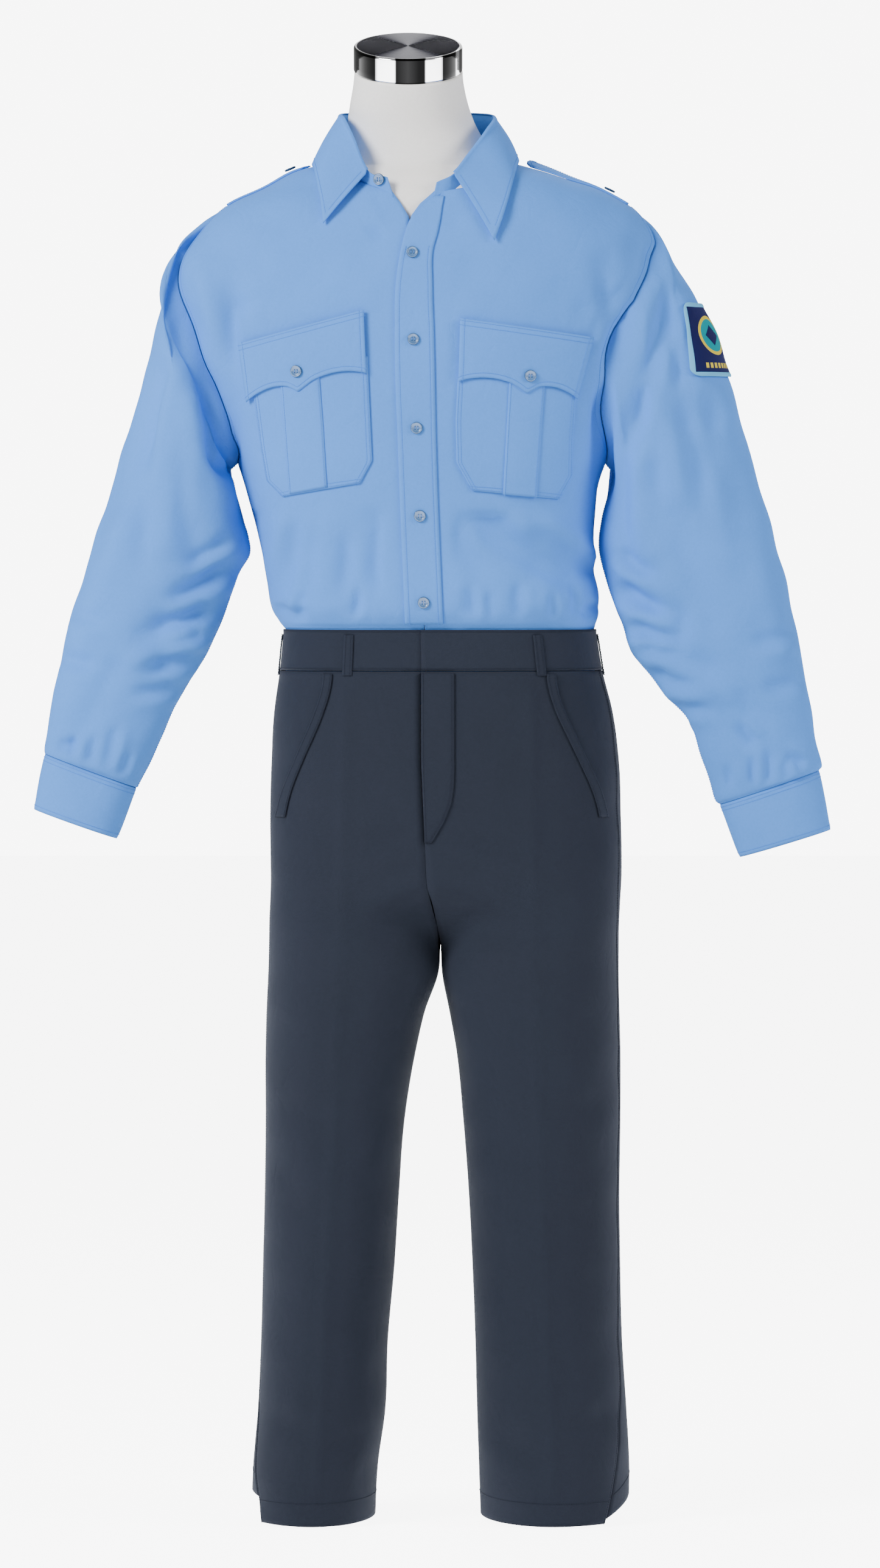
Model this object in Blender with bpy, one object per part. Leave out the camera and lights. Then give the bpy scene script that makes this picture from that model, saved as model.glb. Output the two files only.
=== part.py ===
"""Security guard uniform: shirt tucked into trousers, worn by a limbless dress form on two hidden legs.

Front is towards -Y, +Z is up, and the origin is on the floor under the middle of the whole object.
Every table and size below is in millimetres (angles in degrees); MM turns them into metres when a
mesh is made. A garment surface is a stack of rounded sections, read from a table along smooth curves;
each cloth piece is a stretch of that surface with a wall, and what lies on a piece is made from the
same surface, moved out.
"""

import math

import bpy
import numpy as np

MM = 0.001

SEAM_GAP = 0.3
SHIRT_WALL = 1.2
PLACKET_LIFT, POCKET_LIFT = 0.5, 0.7
COLLAR_WALL = 1.4
CUFF_WALL = 2.0
TROUSER_WALL = 1.6
WAISTBAND_WALL = 2.2

FRONT, BACK = -1.0, 1.0

# The shirt's body, neck to tail: height, left and right side, front and back, roundness of the section.
TRUNK = np.array([
    (1492, -86.0, 48.0, -48.0, 72.0, 2.00),
    (1479, -106.0, 72.0, -66.0, 82.0, 2.00),
    (1466, -148.0, 122.0, -82.0, 92.0, 2.10),
    (1449, -183.0, 176.0, -93.0, 102.0, 2.20),
    (1430, -220.0, 213.0, -102.0, 110.0, 2.30),
    (1406, -248.0, 237.0, -110.0, 117.0, 2.35),
    (1380, -267.0, 250.0, -117.0, 123.0, 2.40),
    (1346, -280.0, 260.0, -122.0, 127.0, 2.45),
    (1300, -268.0, 243.0, -126.0, 129.0, 2.50),
    (1235, -245.0, 216.0, -128.0, 128.0, 2.50),
    (1165, -216.0, 192.0, -127.0, 124.0, 2.50),
    (1105, -197.0, 178.0, -122.0, 118.0, 2.50),
    (1050, -183.0, 174.0, -118.0, 115.0, 2.50),
    (1010, -177.5, 180.5, -119.0, 118.0, 2.50),
    (991, -174.0, 180.5, -117.5, 117.0, 2.50),
    (979, -167.0, 178.5, -112.0, 112.5, 2.50),
    (973, -161.5, 177.0, -106.5, 107.5, 2.50),
    (968, -158.5, 175.5, -104.5, 105.5, 2.50),
    (950, -158.5, 175.5, -104.5, 105.5, 2.50),
    (890, -161.0, 179.0, -106.0, 108.0, 2.50),
])
SHOULDER_ROW, ARM_TOP, ARM_BOTTOM, TAIL_ROW = 1.0, 4.1, 10.25, 19.0
NECK_ROWS, ARM_ROWS = 5, 12
ROWS_BELOW_ARM = [10.8, 11.5, 12.3, 13.1, 13.8, 14.5, 15.1, 15.6, 16.1, 17, TAIL_ROW]
NECK_FREE_ROW = 7.0
YOKE_ROW_INDEX = 9

# Half opening of each armhole, as an angle from the side line, against the fraction of its height.
ARMHOLE = np.array([
    (0.00, 0.0, 0.0, 0.0, 0.0),
    (0.10, 6.0, 14.0, 8.0, 14.0),
    (0.25, 8.0, 26.0, 13.0, 24.0),
    (0.40, 12.0, 32.0, 25.0, 30.0),
    (0.60, 18.0, 34.0, 35.0, 32.0),
    (0.80, 20.0, 28.0, 33.0, 26.0),
    (0.93, 13.0, 16.0, 18.0, 15.0),
    (1.00, 0.0, 0.0, 0.0, 0.0),
])

# Height, then where the left and the right front end: the open neck above, the middle line below.
FRONT_EDGE = np.array([
    (1450, -52.0, 10.0),
    (1440, -42.0, 1.0),
    (1428, -33.0, -13.0),
    (1414, -25.0, -23.0),
    (1400, -21.6, -21.3),
    (1282, -20.3, -20.0),
    (1187, -16.8, -16.5),
    (1093, -13.4, -13.1),
    (1000, -9.3, -9.0),
    (890, -5.3, -5.0),
])
# Where the neck seam crosses the body, as a row of TRUNK against the angle round it (270 is the front).
NECK_SEAM = np.array([
    (90, 1.00), (180, 1.00), (205, 1.15), (225, 1.70), (243, 2.60), (258, 3.35),
    (272, 3.45), (290, 2.90), (310, 1.90), (335, 1.15), (360, 1.00),
])

PLACKET = np.array([
    (1436, 3.0, 13.0),
    (1425, -10.5, 11.0),
    (1411, -23.0, 9.0),
    (1396, -29.0, 6.0),
    (1380, -33.0, 1.5),
    (1340, -39.0, 0.5),
    (1290, -40.0, 2.0),
    (1150, -36.0, 5.0),
    (977, -29.0, 12.0),
])
PLACKET_HEM = [1006, 998, 991, 985, 980.5, 977]
PLACKET_BUTTONS = [(-21.0, 1375.0), (-20.0, 1282.0), (-16.5, 1187.0), (-13.0, 1093.0), (-9.0, 1000.0)]

# Collar: seam on the neck, top of the stand (the roll line) and the outer edge of the fall, left to right.
COLLAR_STAND = np.array([
    (-44.0, -99.0, 1443.0, -49.0, -97.0, 1459.0),
    (-60.0, -92.0, 1449.0, -69.0, -89.0, 1466.0),
    (-84.0, -75.0, 1459.0, -84.0, -67.0, 1500.0),
    (-103.0, -46.0, 1472.0, -94.0, -40.0, 1522.0),
    (-106.0, 2.0, 1480.5, -98.0, 4.0, 1530.0),
    (-86.0, 54.0, 1481.5, -80.0, 52.0, 1533.0),
    (-17.0, 83.5, 1481.5, -17.0, 80.0, 1535.0),
    (52.0, 54.0, 1481.5, 50.0, 52.0, 1533.0),
    (72.0, 2.0, 1480.5, 67.0, 4.0, 1527.0),
    (65.0, -50.0, 1469.0, 59.0, -42.0, 1511.0),
    (42.0, -78.0, 1457.0, 38.0, -73.0, 1482.0),
    (18.0, -94.0, 1448.0, 23.0, -90.0, 1463.0),
    (3.0, -100.0, 1441.0, 6.0, -98.0, 1454.0),
])
COLLAR_EDGE = np.array([
    (-117.0, -108.5, 1407.0),
    (-120.0, -96.0, 1431.0),
    (-127.0, -62.0, 1463.0),
    (-129.0, 0.0, 1476.5),
    (-106.0, 64.0, 1476.0),
    (-17.0, 99.0, 1474.0),
    (72.0, 64.0, 1476.0),
    (93.5, 0.0, 1480.5),
    (90.0, -71.0, 1463.0),
    (80.0, -106.0, 1426.0),
    (67.0, -119.5, 1388.0),
])
STAND_BUTTON = 0.55
# The stand starts this far above the seam; the roll of the fall: outward and down from the stand's top.
STAND_RISE = 2.6
COLLAR_ROLL = [(-0.9, 0.0), (2.6, -1.2), (4.2, -5.0)]
COLLAR_BULGE = 2.0

# Pocket pieces on the fronts, top to bottom: left end and right end of each row.
POCKET_BODY = {
    "left": np.array([
        (-193, 1236, -69, 1264), (-190, 1215, -68, 1240), (-183, 1165, -66, 1195),
        (-177, 1131, -64, 1152), (-160, 1114, -77, 1128)]),
    "right": np.array([
        (30, 1258, 158, 1240), (27, 1234, 154, 1216), (25, 1195, 151, 1175),
        (26, 1150, 150, 1136), (43, 1120, 136, 1111)]),
}
POCKET_PLEAT = {
    "left": np.array([(-162, 1244, -121, 1252), (-157, 1180, -116, 1190), (-152, 1117, -112, 1124)]),
    "right": np.array([(83, 1247, 121, 1243), (79, 1180, 116, 1178), (75.5, 1116, 111.5, 1113)]),
}
POCKET_FLAP = {
    "left": np.array([(-206, 1278, -73, 1313), (-197, 1216, -70, 1245)]),
    "right": np.array([(30, 1304, 172, 1285), (28, 1236, 154, 1219)]),
}
FLAP_POINT = {"left": 0.43, "right": 0.58}
FLAP_SCALLOP, FLAP_TIP = 9.0, 2.5
FLAP_BUTTON = {"left": (-144.0, 1248.0), "right": (104.0, 1243.0)}

# Sleeve sections: outer line (x, z), inner line (x, z), front and back. The first section is the armhole.
SLEEVE = {
    "left": np.array([
        (-252, 1409, -221, 1141, -70, 86),
        (-267, 1390, -217, 1132, -78, 88),
        (-280, 1365, -215, 1124, -84, 88),
        (-290, 1335, -213, 1116, -87, 86),
        (-299, 1297, -210, 1107, -88, 84),
        (-310, 1254, -207, 1097, -87, 80),
        (-323, 1208, -204, 1085, -84, 76),
        (-338, 1158, -200, 1070, -81, 70),
        (-354, 1104, -198, 1050, -79, 62),
        (-369, 1058, -211, 1026, -80, 52),
        (-383, 1012, -226, 986, -82, 42),
        (-394, 975, -241, 949, -82, 34),
        (-402, 942, -264, 912, -81, 24),
        (-409, 902, -286, 871, -79, 15),
        (-416, 866, -302, 832, -77, 8),
        (-421, 844, -315, 806, -75, 4),
        (-419.5, 836.2, -319.5, 799.2, -71, 0)]),
    "right": np.array([
        (234, 1411, 195, 1141, -88, 86),
        (248, 1392, 194, 1132, -92, 88),
        (260, 1371, 192, 1124, -94, 88),
        (273, 1349, 190, 1115, -94, 86),
        (287, 1327, 188, 1106, -94, 84),
        (301, 1300, 186, 1096, -93, 82),
        (316, 1260, 184, 1084, -91, 78),
        (333, 1205, 182, 1070, -88, 72),
        (349, 1149, 182, 1054, -85, 64),
        (364, 1096, 186, 1034, -83, 54),
        (377, 1046, 196, 1004, -82, 44),
        (388, 1003, 206, 974, -82, 36),
        (396, 965, 218, 944, -81, 28),
        (403, 930, 245, 908, -80, 18),
        (409, 892, 277, 872, -78, 10),
        (414, 858, 292, 831, -77, 6),
        (421, 826, 305, 790, -75, 4),
        (419.5, 818.2, 311.5, 781.2, -71, 0)]),
}
CUFF = {
    "left": np.array([
        (-419.5, 835.8, -320, 798.8, -71, 0),
        (-426, 806, -330, 771, -71, -3),
        (-431.5, 776, -341, 744, -70, -6)]),
    "right": np.array([
        (419.5, 817.8, 311.5, 780.8, -71, 0),
        (426, 786, 322, 752, -71, -3),
        (432, 754, 333, 724, -70, -6)]),
}
SLEEVE_ROUNDNESS, SLEEVE_HEAD_ROWS, CUFF_POINTS = 2.15, 7.5, 24

# Badge on the wearer's left sleeve: first and last section it crosses, angles round the sleeve (90 is front).
# Badge: height of its top and bottom, angles of its front and outer edge at each, and its rounded corners.
BADGE_HEIGHTS, BADGE_ANGLES, BADGE_CORNER = (1322.0, 1243.0), np.array([(51.0, -15.0), (60.0, -6.0)]), 9.0
BADGE_FIRST_ROW, BADGE_LAST_ROW = 3, 11
BADGE_LENGTH, BADGE_WIDTH, BADGE_LIFT, BADGE_WALL = 78.0, 72.0, 2.4, 1.5

# Epaulettes on the shoulder line: first and last TRUNK row, lift at the neck end and at the arm end.
EPAULETTE = {"left": (1.62, 4.05, 1.1, 0.8), "right": (1.62, 3.98, 8.0, 0.8)}
EPAULETTE_HALF_WIDTH, EPAULETTE_WALL = 21.0, 1.6
EPAULETTE_BUTTON_ROW = {"left": 2.1, "right": 3.35}

BUTTON_RADIUS, BUTTON_LIFT = 6.4, 0.1
# Back edge, waist, rim and dish of a button: distance in from its radius, and height.
BUTTON_PROFILE = [(0.9, 0.0), (0.0, 0.8), (0.4, 2.2), (2.0, 2.1), (2.7, 1.4)]
CUFF_BUTTON_LIFT, CUFF_BUTTON_POINT = 1.9, 20

# Trousers above the crotch: height, left and right side, front and back, roundness.
HIP = np.array([
    (966, -161.6, 178.6, -107.6, 108.6, 2.50),
    (926, -165.5, 185.0, -110.0, 112.5, 2.50),
    (882, -171.5, 196.0, -112.0, 117.0, 2.45),
    (830, -174.5, 203.0, -113.0, 121.0, 2.40),
    (760, -176.0, 205.5, -112.0, 123.0, 2.40),
    (700, -175.5, 206.0, -109.0, 120.0, 2.70),
    (640, -177.0, 203.5, -106.0, 115.0, 3.00),
    (600, -178.0, 203.0, -104.0, 111.0, 3.00),
    (560, -179.0, 203.0, -102.0, 107.0, 3.00),
])
# Legs: height, left leg's outer and inner side, right leg's inner and outer side, front, back, roundness.
LEG = np.array([
    (640, -177.0, 7.5, 10.5, 203.5, -104.0, 113.0, 2.20),
    (600, -178.0, 7.5, 10.5, 203.0, -103.0, 110.0, 2.15),
    (554, -180.0, -8.0, 19.0, 204.0, -100.0, 105.5, 2.10),
    (515, -181.0, -17.0, 26.0, 205.0, -96.0, 101.0, 2.05),
    (436, -181.0, -30.0, 34.0, 205.0, -91.0, 96.0, 2.00),
    (356, -182.0, -36.0, 40.0, 204.0, -88.0, 93.0, 1.95),
    (277, -184.0, -41.0, 44.0, 205.0, -86.0, 91.0, 1.90),
    (198, -186.0, -48.0, 47.0, 207.0, -86.0, 91.0, 1.90),
    (119, -190.0, -51.0, 49.0, 212.0, -88.0, 93.0, 1.90),
    (60, -195.0, -59.0, 51.0, 215.0, -90.0, 94.0, 1.90),
    (0, -197.0, -62.0, 53.0, 214.0, -92.0, 95.0, 1.90),
])
TROUSER_ROWS = [
    925.7, 886, 836, 782, 734, 705, 678, 654, 633, 615, 599, 574, 533, 478, 408, 328, 248, 173, 109, 60,
    25, 0,
]
CROTCH_TOP, CROTCH = 705.0, 600.0
# Middle seam at the front and the back, and the angle of each outer seam, against height.
MIDDLE_SEAM = np.array([
    (966, -12.0, 22.0), (830, -12.0, 22.0), (693, -6.0, 18.0), (640, 3.0, 13.0), (600, 9.0, 9.0),
    (0, 9.0, 9.0),
])
OUTER_SEAM = np.array([
    (966, 176.0, 346.0), (600, 178.0, 346.0), (300, 180.0, 345.0), (150, 186.0, 338.0), (60, 200.0, 325.0),
    (0, 214.0, 312.0),
])
# Height of each hem above the floor, from the outer seam to the inner seam, and where it starts to bend.
HEM = {
    ("front", "left"): [(0, 3), (0.5, 2.5), (0.8, 5), (1, 8)],
    ("front", "right"): [(0, 3), (0.5, 2.5), (0.8, 5), (1, 8)],
    ("back", "left"): [(0, 30), (0.15, 34), (0.4, 22), (0.7, 9), (1, 8)],
    ("back", "right"): [(0, 8), (0.1, 22), (0.25, 34), (0.45, 24), (0.75, 9), (1, 8)],
}
HEM_BEND = 165.0
WAISTBAND_BOTTOM, WAISTBAND_TOP = 926.3, 966.0
BELT_LOOPS = [
    ("side_left", 182.0), ("side_right", 358.0), ("front_left", 240.0), ("front_right", 303.0),
    ("back_left", 128.0), ("back_middle", 86.0), ("back_right", 48.0),
]
BELT_LOOP_HALF_WIDTH, BELT_LOOP_TOP, BELT_LOOP_BOTTOM, BELT_LOOP_WALL = 5.5, 965.0, 921.0, 1.4
BELT_LOOP_ARCH = [0.5, 2.2, 2.6, 2.2, 0.5]
# Fly: height against width; pocket edges: side, height and x of the top, height and x of the end.
FLY = np.array([(924, 36), (824, 36), (804, 34.5), (784, 31), (764, 22), (742, 8)])
POCKET_EDGES = [("left", 923, -112, 768, -164), ("right", 923, 128, 768, 186)]
POCKET_EDGE_HALF_WIDTH, POCKET_EDGE_LIFT, POCKET_EDGE_WALL = 5.0, 1.0, 1.2

# Dress form: neck rings (centre x, y, z, half width, half depth, forward tilt), then hips below the tail.
NECK_RINGS = np.array([
    (-25.5, -9.9, 1575.0, 58.5, 58.5, 18.0),
    (-25.5, -6.0, 1560.0, 60.0, 60.0, 17.0),
    (-25.0, 0.0, 1540.0, 64.0, 62.0, 14.0),
    (-23.0, 4.5, 1520.0, 69.0, 63.5, 10.0),
    (-20.0, 7.0, 1503.0, 75.0, 66.5, 6.0),
    (-18.0, 8.0, 1489.0, 79.0, 69.0, 2.0),
])
# Room between the form and the shirt's outer face, against the TRUNK row.
FORM_INSET = np.array([
    (1.0, 6.8), (1.6, 6.2), (2.3, 4.8), (3.5, 3.0), (4.5, 5.0), (5.0, 7.0), (6.0, 11.0), (7.0, 14.0),
    (8.0, 15.0), (12.0, 14.0), (14.0, 12.0), (15.0, 8.0), (17.0, 2.3), (18.0, 2.3), (19.0, 3.0),
])
FORM_TRUNK_ROWS = [
    1.05, 1.4, 1.9, 2.5, 3.2, 4.0, 5.0, 6.0, 7.0, 8.0, 10.0, 12.0, 14.0, 15.2, 17.0, 18.0, 19.0,
]
FORM_HIP_ROWS, FORM_HIP_INSET = [870.0, 835.0, 800.0, 786.0, 780.0], [7.0, 10.0, 16.0, 26.0, 42.0]
CAP_CENTRE, CAP_RADIUS, CAP_TILT = (-26.0, -18.7, 1602.0), 59.0, 18.0
# Bevelled rim and side of the cap: distance down its axis, and in from its radius.
CAP_PROFILE = [(0.0, 1.2), (0.4, 0.4), (1.3, 0.0), (28.0, 0.0)]
STAND_PLACES = {"left": (-124.0, 3.0), "right": (129.0, 3.0)}
# Foot plate and pole: height, half width, half depth.
STAND_PROFILE = [
    (0.0, 47.0, 72.0), (7.0, 47.0, 72.0), (9.0, 44.0, 69.0), (13.0, 13.0, 13.0), (779.7, 13.0, 13.0),
]

# Largest folds: start and end (x, z), half width, height (a trough is negative), side of the body.
SHIRT_FOLDS = np.array([
    (-250, 1365, -232, 1262, 20, 4.0, FRONT),
    (-214, 1335, -218, 1270, 15, -5.0, FRONT),
    (-206, 1215, -190, 1120, 13, -4.0, FRONT),
    (14, 1215, 15, 1162, 12, -3.0, FRONT),
    (15, 1120, 66, 1076, 17, -6.0, FRONT),
    (66, 1076, 146, 1030, 17, -6.0, FRONT),
    (96, 1092, 168, 1046, 15, 5.0, FRONT),
    (186, 1362, 197, 1290, 15, -5.0, FRONT),
    (222, 1386, 220, 1330, 13, -3.5, FRONT),
    (-60, 1290, -56, 1020, 15, -2.6, FRONT),
    (-126, 1070, -112, 996, 17, 3.5, FRONT),
    (-84, 1060, -80, 994, 15, -3.0, FRONT),
    (52, 1040, 46, 992, 14, -2.5, FRONT),
    (124, 1020, 116, 994, 15, 3.0, FRONT),
    (-78, 1335, -70, 1010, 22, 4.5, BACK),
    (-118, 1320, -108, 1040, 20, -4.5, BACK),
    (52, 1335, 48, 1010, 22, 4.5, BACK),
    (92, 1320, 84, 1040, 20, -4.5, BACK),
    (-170, 1250, -140, 1120, 20, -4.5, BACK),
    (150, 1250, 125, 1110, 20, -4.5, BACK),
    (-14, 1080, -18, 996, 20, -3.0, BACK),
])
# Where the front lies flat under its placket and pockets: left, right, bottom and top.
FLAT_ZONES = [(-46, 16, 960, 1430), (-204, -56, 1104, 1300), (16, 168, 1100, 1300)]
FLAT_ZONE_MARGIN = 14.0
# Folds fade out towards the side lines, and down to where the shirt is tucked in.
SIDE_FADE, TUCK_HEIGHT, TUCK_FADE = 40.0, 975.0, 25.0
SLEEVE_FOLDS = {
    "left": np.array([
        (-262, 1340, -276, 1270, 14, -4.0, FRONT),
        (-300, 1250, -330, 1110, 16, -5.0, FRONT),
        (-262, 1210, -290, 1060, 16, 4.5, FRONT),
        (-240, 1170, -256, 1050, 14, -5.0, FRONT),
        (-340, 1070, -376, 960, 15, 4.0, FRONT),
        (-226, 1036, -272, 1008, 14, -5.5, FRONT),
        (-248, 984, -306, 966, 14, -5.5, FRONT),
        (-262, 956, -318, 938, 13, 4.0, FRONT),
        (-344, 930, -376, 868, 13, -3.5, FRONT),
        (-300, 1260, -330, 1120, 18, -5.0, BACK),
        (-255, 1190, -285, 1070, 17, 4.5, BACK),
        (-240, 1010, -310, 985, 16, -5.5, BACK),
        (-340, 960, -376, 870, 14, -4.5, BACK)]),
    "right": np.array([
        (252, 1330, 232, 1250, 14, -5.0, FRONT),
        (232, 1250, 214, 1180, 14, -5.0, FRONT),
        (262, 1300, 272, 1200, 15, -4.5, FRONT),
        (230, 1150, 242, 1060, 15, 4.5, FRONT),
        (300, 1200, 330, 1070, 16, -5.0, FRONT),
        (345, 1080, 378, 950, 15, 4.0, FRONT),
        (264, 1090, 300, 980, 17, -5.0, FRONT),
        (212, 1006, 268, 980, 14, -5.5, FRONT),
        (236, 950, 296, 930, 14, -5.0, FRONT),
        (262, 918, 322, 900, 13, 4.0, FRONT),
        (334, 900, 368, 838, 13, -3.5, FRONT),
        (300, 1240, 328, 1110, 18, -5.0, BACK),
        (236, 1170, 262, 1060, 17, 4.5, BACK),
        (232, 1000, 304, 975, 16, -5.5, BACK),
        (332, 940, 370, 850, 14, -4.5, BACK)]),
}
TROUSER_FOLDS = np.array([
    (-92, 900, -100, 560, 7, 2.0, FRONT),
    (-100, 560, -124, 40, 6, 2.5, FRONT),
    (106, 900, 112, 560, 7, 2.0, FRONT),
    (112, 560, 132, 40, 6, 2.5, FRONT),
    (-92, 620, -124, 40, 6, 2.5, BACK),
    (112, 620, 132, 40, 6, 2.5, BACK),
    (-24, 690, -90, 640, 13, -4.0, BACK),
    (40, 690, 104, 640, 13, -4.0, BACK),
    (-120, 400, -160, 380, 12, -2.5, FRONT),
    (90, 390, 160, 372, 12, -2.5, FRONT),
])

COLOURS = {
    "shirt": (0.27, 0.44, 0.72, 0.85, 0.0),
    "trousers": (0.035, 0.046, 0.075, 0.9, 0.0),
    "button": (0.50, 0.62, 0.78, 0.3, 0.0),
    "badge": (0.02, 0.03, 0.10, 0.8, 0.0),
    "form": (0.78, 0.74, 0.70, 0.9, 0.0),
    "chrome": (0.60, 0.60, 0.62, 0.15, 1.0),
    "stand": (0.45, 0.45, 0.47, 0.35, 1.0),
}


def smooth_curve(table):
    """Gives a function that reads a table's other columns at values of its first, along a smooth curve."""
    turned = table if table[0, 0] < table[-1, 0] else table[::-1]
    knots, columns = turned[:, 0].astype(float), turned[:, 1:].astype(float)
    slopes = np.gradient(columns, knots, axis=0)

    def read(value):
        value = np.clip(np.asarray(value, float), knots[0], knots[-1])
        i = np.clip(np.searchsorted(knots, value, side="right") - 1, 0, len(knots) - 2)
        step = (knots[i + 1] - knots[i])[..., None]
        u = (value - knots[i])[..., None] / step
        a, b = columns[i], columns[i + 1]
        rise_a, rise_b = slopes[i] * step, slopes[i + 1] * step
        return (a * (2 * u**3 - 3 * u**2 + 1) + b * (3 * u**2 - 2 * u**3)
                + rise_a * (u**3 - 2 * u**2 + u) + rise_b * (u**3 - u**2))

    return read


def numbered(table):
    """A table with its row numbers as a first column."""
    return np.column_stack([np.arange(len(table)), table])


def lerp(a, b, share):
    return a + (b - a) * share


def smoothstep(x):
    x = np.clip(x, 0.0, 1.0)
    return x * x * (3 - 2 * x)


def signed_power(value, power):
    return np.sign(value) * np.abs(value) ** power


def unit(vectors):
    return vectors / np.maximum(np.linalg.norm(vectors, axis=-1, keepdims=True), 1e-9)


trunk_sections = smooth_curve(numbered(TRUNK))
armhole_angles = smooth_curve(ARMHOLE)
hip_sections = smooth_curve(HIP)
leg_sections = smooth_curve(LEG)


def fold_height(x, z, side, table):
    """Height that the folds add to a surface at (x, z) seen from the front or the back."""
    total = np.zeros_like(x)
    for x0, z0, x1, z1, width, height, face in table:
        along = np.array([x1 - x0, z1 - z0])
        share = ((x - x0) * along[0] + (z - z0) * along[1]) / (along @ along)
        share = np.clip(share, 0, 1)
        distance = np.hypot(x - x0 - share * along[0], z - z0 - share * along[1])
        total += height * np.exp(-((distance / width) ** 2)) * (np.sign(side) == face)
    return total


def surface_normals(place, p, q):
    """Outward normals of a surface given by place(p, q), from small steps along both of its directions."""
    step = 1e-3
    along_p = place(p + step, q) - place(p - step, q)
    along_q = place(p, q + step) - place(p, q - step)
    return unit(np.cross(along_p, along_q))


def section_point(left, right, front, back, power, angle):
    """Point (x, y) of a rounded section at an angle: 0 right, 90 back, 180 left, 270 front."""
    c, s = np.cos(np.radians(angle)), np.sin(np.radians(angle))
    x = (left + right) / 2 + (right - left) / 2 * signed_power(c, 2 / power)
    y = np.where(s < 0, -front, back) * signed_power(s, 2 / power)
    return x, y


def section_angle(left, right, power, x, side):
    """Angle of a rounded section's point with this x, on its front or its back."""
    share = np.clip((x - (left + right) / 2) / ((right - left) / 2), -0.999, 0.999)
    angle = np.degrees(np.arccos(signed_power(share, power / 2)))
    return angle if side == BACK else 360 - angle


def trunk_base(row, angle):
    z, left, right, front, back, power = np.moveaxis(trunk_sections(row), -1, 0)
    x, y = section_point(left, right, front, back, power, angle)
    return np.stack([x, y, z], axis=-1)


def trunk_normals(row, angle):
    return surface_normals(trunk_base, row, angle)


def fold_room(base):
    """1 where the shirt's body may fold, falling to 0 under the placket and the pockets."""
    room = np.ones(base.shape[:-1])
    for left, right, bottom, top in FLAT_ZONES:
        beside = np.maximum(left - base[..., 0], base[..., 0] - right)
        above = np.maximum(bottom - base[..., 2], base[..., 2] - top)
        distance = np.maximum(np.maximum(beside, above), 0)
        room = np.where(base[..., 1] < 0, room * smoothstep(distance / FLAT_ZONE_MARGIN), room)
    return room


def trunk_point(row, angle, lift=0.0):
    """Point of the shirt's body with its folds, moved out by lift."""
    base = trunk_base(row, angle)
    fade = smoothstep(np.abs(base[..., 1]) / SIDE_FADE) * smoothstep((base[..., 2] - TUCK_HEIGHT) / TUCK_FADE)
    height = fold_height(base[..., 0], base[..., 2], base[..., 1], SHIRT_FOLDS) * fade * fold_room(base)
    return base + trunk_normals(row, angle) * (height + lift)[..., None]


def trunk_row(z):
    """TRUNK row at a height, on the part of the body above the waist."""
    rows = np.linspace(0, 17, 681)
    heights = trunk_sections(rows)[:, 0]
    return np.interp(-np.asarray(z, float), -heights, rows)


def front_place(x, z):
    """Row and angle of the point of the shirt's front that is seen at (x, z)."""
    row = trunk_row(z)
    _, left, right, _, _, power = np.moveaxis(trunk_sections(row), -1, 0)
    return row, section_angle(left, right, power, x, FRONT)


def on_front(x, z, lift):
    row, angle = front_place(x, z)
    return trunk_point(row, angle, np.broadcast_to(lift, np.shape(row)))


def front_normal(x, z):
    row, angle = front_place(x, z)
    return trunk_normals(row, angle)


def armhole_edge(row, column):
    """Angle from the side line to the armhole's edge, by column: left front and back, right front and back."""
    share = np.clip((row - ARM_TOP) / (ARM_BOTTOM - ARM_TOP), 0, 1)
    return np.maximum(armhole_angles(share)[..., column], 0)


def make_material(slot):
    red, green, blue, roughness, metallic = COLOURS[slot]
    material = bpy.data.materials.get(slot) or bpy.data.materials.new(slot)
    material.use_nodes = True
    shader = material.node_tree.nodes["Principled BSDF"]
    shader.inputs["Base Color"].default_value = (red, green, blue, 1)
    shader.inputs["Roughness"].default_value = roughness
    shader.inputs["Metallic"].default_value = metallic
    return material


def make_object(name, points, faces, slot):
    mesh = bpy.data.meshes.new(name)
    mesh.from_pydata([tuple(p) for p in np.asarray(points) * MM], [], faces)
    mesh.validate()
    mesh.materials.append(make_material(slot))
    made = bpy.data.objects.new(name, mesh)
    bpy.context.collection.objects.link(made)
    return made


def grid_faces(rows, columns, start, closed, flip):
    faces = []
    for i in range(rows - 1):
        for j in range(columns if closed else columns - 1):
            k = (j + 1) % columns
            face = [start + i * columns + j, start + i * columns + k,
                    start + (i + 1) * columns + k, start + (i + 1) * columns + j]
            faces.append(face[::-1] if flip else face)
    return faces


def shell(name, outer, inner, slot, closed=False):
    """A wall between two grids of points; closed joins the last column to the first, as on a sleeve."""
    rows, columns = outer.shape[:2]
    count = rows * columns
    points = np.concatenate([outer.reshape(-1, 3), inner.reshape(-1, 3)])
    faces = grid_faces(rows, columns, 0, closed, False) + grid_faces(rows, columns, count, closed, True)
    for j in range(columns if closed else columns - 1):
        k = (j + 1) % columns
        last = (rows - 1) * columns
        faces.append([k, j, count + j, count + k])
        faces.append([last + j, last + k, count + last + k, count + last + j])
    if not closed:
        for i in range(rows - 1):
            a, b = i * columns, (i + 1) * columns
            end_a, end_b = a + columns - 1, b + columns - 1
            faces.append([a, b, count + b, count + a])
            faces.append([end_b, end_a, count + end_a, count + end_b])
    return oriented(make_object(name, points, faces, slot))


def oriented(made):
    """Turns a closed mesh's faces outwards."""
    mesh = made.data
    volume = 0.0
    for polygon in mesh.polygons:
        corners = [mesh.vertices[v].co for v in polygon.vertices]
        for a, b in zip(corners[1:-1], corners[2:]):
            volume += corners[0].dot(a.cross(b))
    if volume < 0:
        mesh.flip_normals()
    return made


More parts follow.
